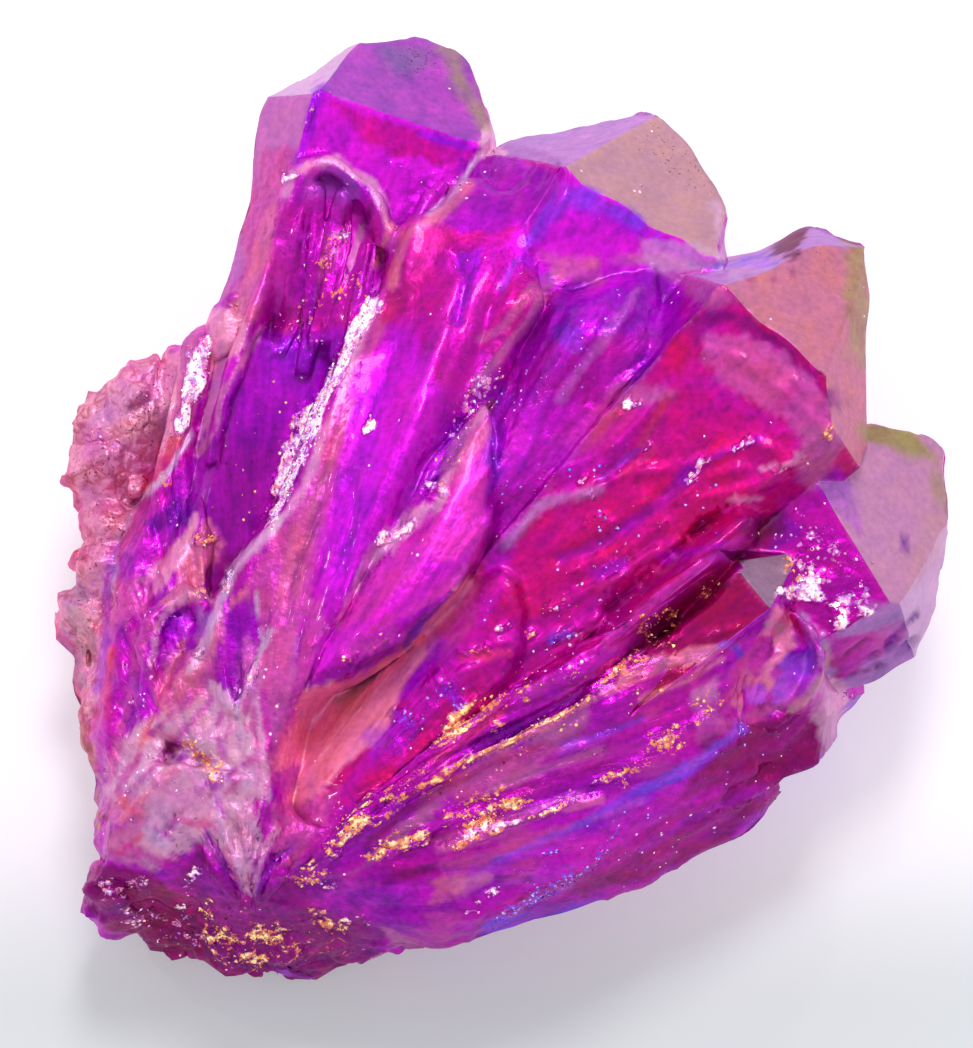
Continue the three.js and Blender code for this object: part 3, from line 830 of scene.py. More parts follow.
# sizes in mm: one number, or three for round the root, outward and upward
FLUTE_SIZE = (3.4, 22, 9)
RIB_SIZE = (1.2, 9, 5)
TERRACE_SIZE = (6, 9, 6)
LUMP_SIZE = 5.5
GRAIN_SIZE = 1.3


def ridged(field):
    """Noise folded into crests: 1 along each crest, and lower on both sides of it."""
    return 1 - 2.4 * np.abs(field)


flute = ridged(noise_field(flow, FLUTE_SIZE, 2))
rib = ridged(noise_field(flow, RIB_SIZE, seed=31))
lump = noise_field(place_mm, LUMP_SIZE, 2, 7)
grain = noise_field(place_mm, GRAIN_SIZE, seed=13)
terrace = noise_field(flow, TERRACE_SIZE, 2, 43) * STEPS
steps = np.floor(terrace) + between(0.75, 1.0, terrace % 1)
fine_flow = between(12, 40, out_from_root)
ground_relief = FLUTE * flute * between(6, 25, out_from_root) + RIB * rib * fine_flow
ground_relief = ground_relief + LUMP * lump + GRAIN * grain + GROUND_STEP * steps
ground_relief *= 1 - CALMED * calm
print("ground:", round(float(ground_relief.min()), 2), "to", round(float(ground_relief.max()), 2), "mm")

# %% Forms of the flat faces
# heights in mm
ROOT_FLUTE = 0.3 * FLUTE
STEP = 0.09
FACE_WAVE = 0.035
FACE_PIT = 0.049
CHIP = 0.2
# sizes in mm
WAVE_SIZE = 7
PIT_SIZE = 1.6
CHIP_SIZE = 1.7

facet_far = between(20, 60, out_from_root)
wave = noise_field(place_mm, WAVE_SIZE, seed=19)
pits = between(0.42, 0.6, noise_field(place_mm, PIT_SIZE, seed=23))
chips = between(0.1, 0.6, noise_field(place_mm, CHIP_SIZE, seed=61)) * on_edge
facet_relief = ROOT_FLUTE * flute * (1 - facet_far) + STEP * (steps / STEPS) * (1 - 0.5 * facet_far)
facet_relief = facet_relief + FACE_WAVE * wave - FACE_PIT * pits
print("chipped edge points:", int((chips > 0.5).sum()))

# %% Forms of the crust and the rim
CRUST = 0.24
RIM_ROUGH = 0.5
# sizes in mm
BUBBLE_SIZE = 1.5
RIM_LUMP_SIZE = 1.7


def westward():
    """0 on most of the stone, and 1 on the west side, which the crust covers."""
    return between(-33, -38, place_mm[:, 0] - 0.18 * place_mm[:, 1])


rough_lump = noise_field(place_mm, 2.4, 3, 29) + 0.5 * noise_field(flow, (1.5, 5, 4), 2, 3)
crust = westward() * between(8, 16, place_mm[:, 2])
bubbles = np.abs(noise_field(place_mm, BUBBLE_SIZE, seed=37)) * 2 - 0.5
rim = between(16, 8, out_from_root) * between(22, 14, place_mm[:, 2])
rim_lump = noise_field(place_mm, RIM_LUMP_SIZE, 2, 3)
print("crust points:", int((crust > 0.5).sum()), "rim points:", int((rim > 0.5).sum()))

# %% Carve
RESTING_EDGE = 2

relief = ground_share * ground_relief + (1 - ground_share) * facet_relief
relief += drawn + rough * rough_lump + crust * CRUST * bubbles * ground_share - chips * CHIP
relief += rim * RIM_ROUGH * rim_lump
relief *= between(0, RESTING_EDGE, place_mm[:, 2])
points, normals = reshape(points + normals * (relief * MM)[:, None])
place_mm = points / MM
sheet = on_sheet(points)
facing = turned_to_camera(normals)
print("relief:", round(float(relief.min()), 2), "to", round(float(relief.max()), 2), "mm")

# %% [markdown]
# ## Paint
#
# The coat's colour depends on the film's thickness, which follows the shape of the stone: it changes from
# face to face, and flows from patch to patch over the ground. It is laid on as a painter would lay it. A base
# coat of drifting magenta, purple and violet covers the ground, each flat face has its own pair of coats, and
# then areas and lines are brushed over them. The result is kept in attributes, because the mesh is fine
# enough to hold them and no picture is needed.

# %% Areas to paint
# coat, strength, width of the soft edge | outline
# pink face, its milky patch, the tongue with a dark band painted as shade under its edge, and the salmon
# hollow
AREAS = table("""
# north point: rough left flank, shoulder and the arch
rose 0.85 0.8 | -48,58 -47,67 -45,75 -37,76 -38,69 -40,57 -42,45 -49,38 -54,39 -50,49
coral 0.55 0.8 | -52,41 -49,49 -46,57 -43,65 -40,62 -42,53 -45,43 -49,38
cerise 1 0.3 | -31,84 -25,82 -13,79 -2,75 -4,71 -9,72 -16,73 -22,75 -27,79
hot 0.9 1 | -35,83 -30,83 -22,74 -17,72 -9,71 -4,71 -9,63 -17,62 -22,68 -30,74 -37,73
purple 0.5 0.8 | -17,68 -7,67 -11,62 -17,62
orchid 0.6 0.6 | -37,70 -29,72 -25,67 -26,61 -33,62 -37,64
slate 0.6 1.2 | -22,95 -12,96 -11,93 -13,91 -18,90 -20,92
blush 0.9 0.3 | -3,73 0,80 2,79 4,74 -1,72
olive 0.65 1 | -10,97 -6,95 -2,87 1,79 -1,79 -5,85 -8,92
# flutes under the arch
magenta 0.9 1 | -41,65 -23,65 -18,52 -27,38 -45,38 -45,50
rose 0.5 0.6 | -33,58 -28,59 -29,52 -33,51
purple 0.6 0.5 | -23,56 -20,52 -23,45 -26,43 -25,51
# the deep slab
purple 1 0.8 | -45,39 -27,39 -30,29 -35,19 -40,9 -45,0 -51,-8 -56,-14 -58,-7 -56,11 -54,21 -50,30
plum 0.6 6 | -54,17 -37,17 -41,7 -45,0 -51,-8 -56,-14 -58,-7 -56,5
indigo 0.4 3 | -45,36 -36,36 -39,29 -45,30
violet 0.45 1.5 | -45,38 -28,38 -33,25 -45,25
# between the slab and the west crust
purple 0.9 0.6 | -56,19 -56,5 -59,2 -60,-2 -67,-7 -73,-12 -75,-10 -71,-3 -64,4 -60,13
indigo 0.8 0.5 | -58,5 -59,0 -66,-2 -67,1 -62,5
clay 0.85 0.5 | -58,2 -59,-6 -67,-15 -74,-21 -74,-15 -67,-9 -61,-3
coral 0.9 0.4 | -56,1 -52,-4 -56,-11 -60,-18 -65,-16 -60,-7
plum 1 0.3 | -56,-9 -52,-5 -46,-8 -51,-13 -56,-14
# west crust
clay 1 0.6 | -88,-17 -86,-10 -80,-7 -81,5 -84,13 -82,24 -77,29 -62,35 -55,43 -49,45 -49,36 -56,29 -59,19
 -65,11 -71,1 -76,-7 -77,-19 -78,-35 -80,-42 -82,-25
pink 0.7 0.8 | -75,28 -65,32 -62,29 -67,24 -74,20 -80,20
rose 0.35 1 | -81,20 -71,17 -63,21 -62,15 -69,11 -73,2 -80,5
fire 0.8 0.4 | -64,18 -60,17 -64,10 -69,3 -72,0 -71,5 -67,12
rose 0.8 0.3 | -61,38 -56,40 -55,36 -56,26 -60,17 -63,18 -62,29
mallow 0.8 0.4 | -87,-15 -85,-10 -82,-10 -80,-15 -83,-17
sand 0.8 0.4 | -85,-18 -81,-16 -78,-23 -79,-28 -82,-23
sage 0.5 0.6 | -85,-20 -81,-26 -80,-33 -82,-33
# west ridges
magenta 0.8 0.6 | -73,-13 -67,-11 -67,-19 -71,-31 -75,-45 -77,-45 -76,-27
rose 0.8 0.6 | -65,-15 -67,-23 -71,-35 -74,-47 -75,-53 -76,-49 -72,-33 -70,-21
amber 0.8 0.5 | -82,-35 -80,-42 -78,-45 -78,-53 -77,-61 -78,-63 -80,-51 -82,-42
# the loop, the pit and the mound
violet 0.6 0.5 | -64,-19 -60,-16 -55,-19 -56,-25 -59,-29 -62,-28
lilac 0.6 0.4 | -59,-17 -55,-18 -54,-23 -57,-26
purple 1 0.3 | -54,-33 -54,-25 -52,-18 -48,-14 -46,-16 -44,-22 -46,-32 -50,-37
coral 0.8 0.5 | -53,-18 -47,-10 -48,-14 -52,-18 -54,-25 -59,-33 -65,-38 -62,-31 -57,-23
lilac 0.75 0.6 | -49,-37 -45,-26 -39,-18 -37,-23 -39,-35 -40,-43 -45,-45 -48,-43
mallow 0.9 1 | -76,-53 -73,-43 -65,-37 -54,-33 -49,-38 -45,-45 -43,-55 -47,-55 -45,-65 -49,-71 -57,-63
 -67,-69 -76,-67
milk 0.95 1 | -76,-53 -73,-43 -65,-37 -54,-33 -49,-38 -45,-45 -43,-55 -47,-55 -45,-65 -49,-71 -57,-63
 -67,-69 -76,-67
fire 0.25 1.5 | -67,-42 -57,-39 -57,-47 -65,-49
pink 0.5 1 | -61,-39 -53,-43 -50,-51 -57,-51
rose 0.7 0.8 | -76,-55 -69,-54 -67,-61 -73,-67 -77,-67
magenta 0.6 0.8 | -76,-65 -69,-65 -67,-71 -76,-72
coral 0.5 1 | -63,-25 -54,-23 -55,-35 -65,-39 -67,-35
salmon 0.35 1 | -49,-23 -45,-23 -41,-19 -42,-35 -47,-41 -50,-35
# band right of the wall crest, and the spine
rose 0.9 0.8 | -22,43 -18,45 -23,31 -27,17 -30,5 -34,-9 -38,-23 -39,-39 -44,-53 -47,-41 -45,-25 -47,-11
 -42,-1 -37,9 -31,23 -27,35
coral 0.5 0.8 | -37,5 -33,5 -37,-11 -41,-19 -43,-15
crimson 0.8 1 | -17,58 -9,60 -3,62 7,60 3,51 -9,39 -17,39 -21,41 -20,49
berry 0.5 1 | -19,53 -7,57 3,57 -3,41 -17,39
purple 1 0.7 | -5,73 3,74 16,70 14,65 11,60 3,58 -5,58 -8,60
purple 0.9 0.7 | -3,72 15,69 12,62 3,60 -5,61
magenta 0.8 2 | -9,55 10,60 7,53 -1,39 -3,25 -13,17 -17,39
wine 0.35 1 | -16,38 -8,38 -9,28 -16,28
hot 0.6 1 | -31,-7 -25,1 -19,9 -17,1 -27,-13 -33,-19
hot 1 2 | -27,29 -17,41 -9,27 -9,17 -17,5 -19,-1 -27,-13 -33,-19 -34,-7 -30,9
violet 0.5 1.5 | -27,25 -19,29 -21,11 -27,-7 -31,-13 -31,1
violet 0.75 0.4 | -5,54 -1,55 -1,50 -3,45 -5,40 -7,41 -6,47
rose 0.7 0.6 | -37,-23 -34,-15 -31,-23 -37,-33 -40,-43 -43,-51 -39,-35
# pink face, its milky patch, the tongue and the salmon hollow
coral 0.7 1 | 0,24 -7,15 -9,5 -1,9 2,17
hotpink 0.95 0.8 | 0,17 -9,5 -17,-3 -28,-15 -32,-25 -21,-21 -9,-14 0,-6 1,7
milk 0.7 0.6 | -8,5 -14,-1 -23,-9 -29,-18 -30,-23 -28,-15 -23,-5 -15,4
hot 0.8 0.6 | -11,-7 -3,-6 -17,-20 -29,-26 -35,-30 -34,-23 -23,-18
plum 0.8 0.25 | -37,-33 -34,-30 -27,-27 -17,-23 -9,-16 0,-7 -2,-10 -9,-18 -16,-24 -23,-28 -31,-33 -36,-34
purple 0.6 0.25 | -37,-32 -29,-28 -17,-23 -18,-25 -29,-30 -36,-34
salmon 1 0.8 | -36,-33 -26,-31 -16,-24 -9,-16 -4,-9 -2,-13 -6,-18 -11,-26 -16,-31 -18,-37 -20,-44 -26,-46
 -31,-50 -33,-56 -40,-58 -42,-48 -38,-35
salmon 0.8 0.6 | -37,-36 -26,-33 -17,-27 -18,-35 -21,-43 -29,-48 -38,-53
magenta 0.9 0.8 | -16,-32 -11,-26 -6,-18 -1,-14 3,-16 -3,-27 -9,-35 -17,-48 -20,-45 -18,-38
purple 0.8 0.4 | -42,-50 -38,-49 -38,-53 -41,-55
purple 0.7 0.8 | -37,-61 -29,-55 -23,-55 -23,-67 -31,-71 -37,-69
rose 0.6 0.8 | -13,-23 -1,-10 3,-11 -9,-27
rose 0.9 0.7 | -43,-55 -37,-56 -29,-52 -31,-61 -39,-68 -45,-65
magenta 0.8 1 | -17,-36 -9,-23 -7,-33 -13,-43 -25,-51 -29,-61 -37,-67 -29,-52 -23,-45
violet 0.5 0.7 | -25,-42 -15,-38 -17,-44 -23,-48
# violet crystal
purple 0.9 1.2 | 3,29 15,46 23,51 33,52 38,47 38,39 31,29 23,21 15,11 9,5 0,5 1,17
violet 0.5 1.5 | 15,46 23,51 33,52 38,47 35,39 23,39 15,35
magenta 0.7 1.5 | 11,29 23,37 31,37 27,25 15,17 9,19
violet 0.5 1.5 | 3,25 9,27 9,13 3,9
crimson 0.6 0.8 | 4,48 9,51 12,45 3,31 -1,36
mauve 0.6 0.8 | 22,52 31,54 43,52 50,45 45,42 41,46 33,52
blue 0.3 0.5 | 14,39 19,40 19,35 15,34
blue 0.25 0.7 | 0,27 5,29 5,17 4,5 0,5
rose 0.6 0.8 | 15,17 23,23 31,27 37,28 37,25 27,19 19,12
frost 0.6 0.8 | 24,28 35,28 31,25 25,24
violet 0.7 1.4 | 15,68 21,67 41,54 31,57 21,62 15,62 9,56 11,62
blue 0.5 1.2 | 16,68 23,66 35,58 23,62 16,64 11,58
coral 0.6 1 | 11,54 23,53 23,48 14,49
hot 0.7 1 | 3,24 14,25 23,21 15,9 3,6
# valley below the violet crystal
magenta 0.9 1 | 0,5 15,11 23,17 31,25 35,21 23,9 15,-3 3,-15 -3,-19 0,-7
cerise 0.8 1 | 7,1 23,11 35,21 43,19 27,1 11,-11 3,-15
purple 0.5 1 | 0,5 9,5 7,-7 0,-11
# east point
plum 0.75 0.5 | 40,41 45,44 51,42 59,36 72,24 71,22 64,27 55,34 47,41 43,35 40,36
frost 0.7 0.6 | 43,39 51,38 61,33 70,24 73,19 69,15 60,20 54,24 46,29 42,34
coral 0.5 1 | 52,45 59,53 63,52 55,41
magenta 0.7 1 | 23,11 33,25 41,35 47,28 55,23 67,15 63,7 51,11
crimson 0.9 1.2 | 31,21 39,27 47,25 61,17 63,7 55,-3 43,-7 27,-23 3,-15 7,1 23,5
mauve 0.6 0.8 | 63,19 73,19 72,15 66,7 61,9
magenta 0.6 1 | 23,-23 31,-15 23,-13 7,-19 -9,-25 -9,-33 7,-33
wine 0.8 0.4 | 53,-4 60,1 61,-1 57,-4
maroon 1 0.3 | 57,54 58,58 61,60 64,60 64,56 62,54 59,53
olive 0.7 0.8 | 72,56 76,55 77,39 76,29 73,35 72,45
blue 0.4 0.3 | 50,54 57,54 56,53 51,52
# far-east point
mallow 1 0.3 | 45,65 48,65 48,49 46,51
mist 0.4 0.8 | 31,57 43,56 47,55 46,50 31,52
olive 0.9 0.7 | 75,20 84,20 91,14 89,12 81,15 75,17
olive 0.6 0.8 | 88,14 93,9 92,2 90,4 89,10
sand 0.5 1 | 88,5 92,1 89,-11 84,-13 86,-3
violet 0.45 0.8 | 66,7 70,12 73,7 75,-1 71,2
magenta 0.7 0.8 | 59,5 66,6 69,1 63,-2 58,-2
lilac 0.6 0.6 | 71,-15 80,-16 89,-12 89,-15 79,-20
purple 0.5 0.6 | 69,-23 79,-21 83,-23 75,-31 70,-31
# side point and the terrace crest
hotpink 0.8 0.5 | 23,-23 33,-15 43,-7 51,-1 53,-5 45,-12 35,-20 25,-29
crimson 1 0.5 | 31,-23 37,-15 43,-10 50,-6 52,-7 46,-14 38,-22 31,-26 25,-29
plum 0.8 0.8 | 50,2 61,2 62,-4 55,-4 50,-2
violet 0.5 0.8 | 57,1 63,1 63,-5 58,-5
maroon 0.7 0.5 | 52,1 58,2 60,-1 54,-3
salmon 0.7 0.4 | 51,-23 43,-27 33,-29 23,-34 15,-39 23,-33 35,-26 47,-23
# petals
magenta 0.9 0.6 | 58,-15 69,-15 70,-23 66,-22 61,-16
salmon 0.9 0.5 | 49,-33 51,-29 54,-23 56,-20 58,-17 60,-18 62,-21 63,-25 60,-26 58,-27 56,-30 57,-33
 54,-35 52,-33 50,-38 48,-36
magenta 0.9 0.4 | 53,-23 55,-22 57,-23 57,-27 56,-29 54,-31 52,-29
iris 0.9 0.5 | 51,-32 54,-32 56,-33 56,-36 52,-36
iris 1 0.5 | 60,-26 63,-25 65,-26 65,-30 63,-33 60,-36 57,-36 57,-33 58,-30
orchid 1 0.4 | 63,-18 66,-22 67,-28 66,-32 63,-35 59,-37 58,-36 62,-33 64,-29 64,-24 63,-21
iris 0.8 0.5 | 64,-23 66,-25 66,-30 63,-33 63,-30
magenta 0.9 0.3 | 60,-17 62,-19 64,-23 63,-25 61,-22 60,-19
purple 0.9 0.4 | 55,-41 56,-38 59,-37 61,-36 58,-40
maroon 0.8 0.4 | 54,-36 56,-36 56,-38 54,-38
rose 0.6 0.5 | 50,-28 52,-25 53,-31 49,-38 46,-38
berry 0.9 0.5 | 43,-43 51,-40 61,-38 65,-35 67,-31 71,-33 71,-39 68,-46 61,-53 51,-59 41,-55
mauve 0.4 0.6 | 58,-42 63,-39 66,-41 62,-45
blush 0.5 0.8 | 41,-33 46,-31 47,-39 42,-42
# lower side of the far-east point
magenta 0.85 0.6 | 68,-22 77,-21 80,-23 76,-28 70,-32 68,-28
wine 0.6 0.5 | 68,-27 73,-26 72,-30 69,-33
rose 0.5 0.8 | 77,-21 84,-19 83,-23 78,-27
# terraces
magenta 0.7 1 | 15,-44 31,-39 43,-36 51,-33 43,-43 31,-48 15,-53 -1,-55
mauve 0.8 0.6 | -27,-70 -9,-52 7,-44 16,-39 21,-35 19,-43 7,-50 -7,-55 -21,-67
purple 0.7 0.6 | 23,-44 43,-38 41,-42 23,-50 7,-51 11,-48
iris 0.5 0.5 | -1,-73 15,-68 27,-63 31,-65 15,-72
hotpink 0.6 0.6 | -9,-68 7,-62 23,-57 32,-54 27,-60 11,-67 -7,-73
rose 0.7 0.5 | -9,-68 7,-62 23,-57 32,-54 27,-60 11,-67 -7,-73
violet 0.5 0.6 | -9,-69 7,-68 15,-65 3,-72 -5,-75
coral 0.6 0.6 | -11,-71 -3,-70 -4,-74 -11,-76
magenta 0.8 0.6 | -5,-76 15,-71 31,-57 47,-49 31,-65 15,-76 -3,-81
rose 0.8 0.5 | -9,-51 7,-44 15,-44 7,-52 -7,-56
hot 0.7 0.5 | 8,-67 23,-59 32,-58 23,-66 11,-70
# south-east end
berry 0.9 1 | 31,-62 50,-42 63,-35 64,-36 68,-46 61,-54 51,-60 43,-67 31,-72 23,-73
magenta 0.6 0.6 | 23,-69 31,-62 41,-55 47,-59 35,-67
purple 0.6 0.8 | -5,-82 15,-76 31,-71 43,-66 31,-73 15,-78 -1,-82
mallow 0.9 0.3 | 64,-36 68,-30 72,-32 71,-42 68,-46
milk 0.9 0.3 | 67,-29 69,-31 72,-35 71,-41 69,-42 68,-35
# root and rim
plum 0.9 0.6 | -57,-65 -49,-74 -37,-71 -29,-71 -37,-77 -49,-78 -58,-75 -63,-71
purple 0.4 0.8 | -56,-64 -50,-74 -54,-75 -59,-71
wine 0.6 0.5 | -82,-69 -76,-68 -67,-70 -61,-75 -57,-80 -53,-87 -67,-85 -76,-81 -81,-76
maroon 0.5 0.5 | -82,-69 -76,-68 -67,-70 -61,-75 -57,-80 -53,-87 -67,-85 -76,-81 -81,-76
plum 0.8 0.6 | -57,-79 -37,-76 -19,-80 -23,-87 -39,-91 -54,-89
purple 0.6 0.7 | -37,-71 -21,-67 -17,-75 -9,-82 -21,-81 -33,-78
mauve 0.8 0.3 | -21,-81 -14,-83 -14,-85 -19,-85
""")
print("areas:", len(AREAS))
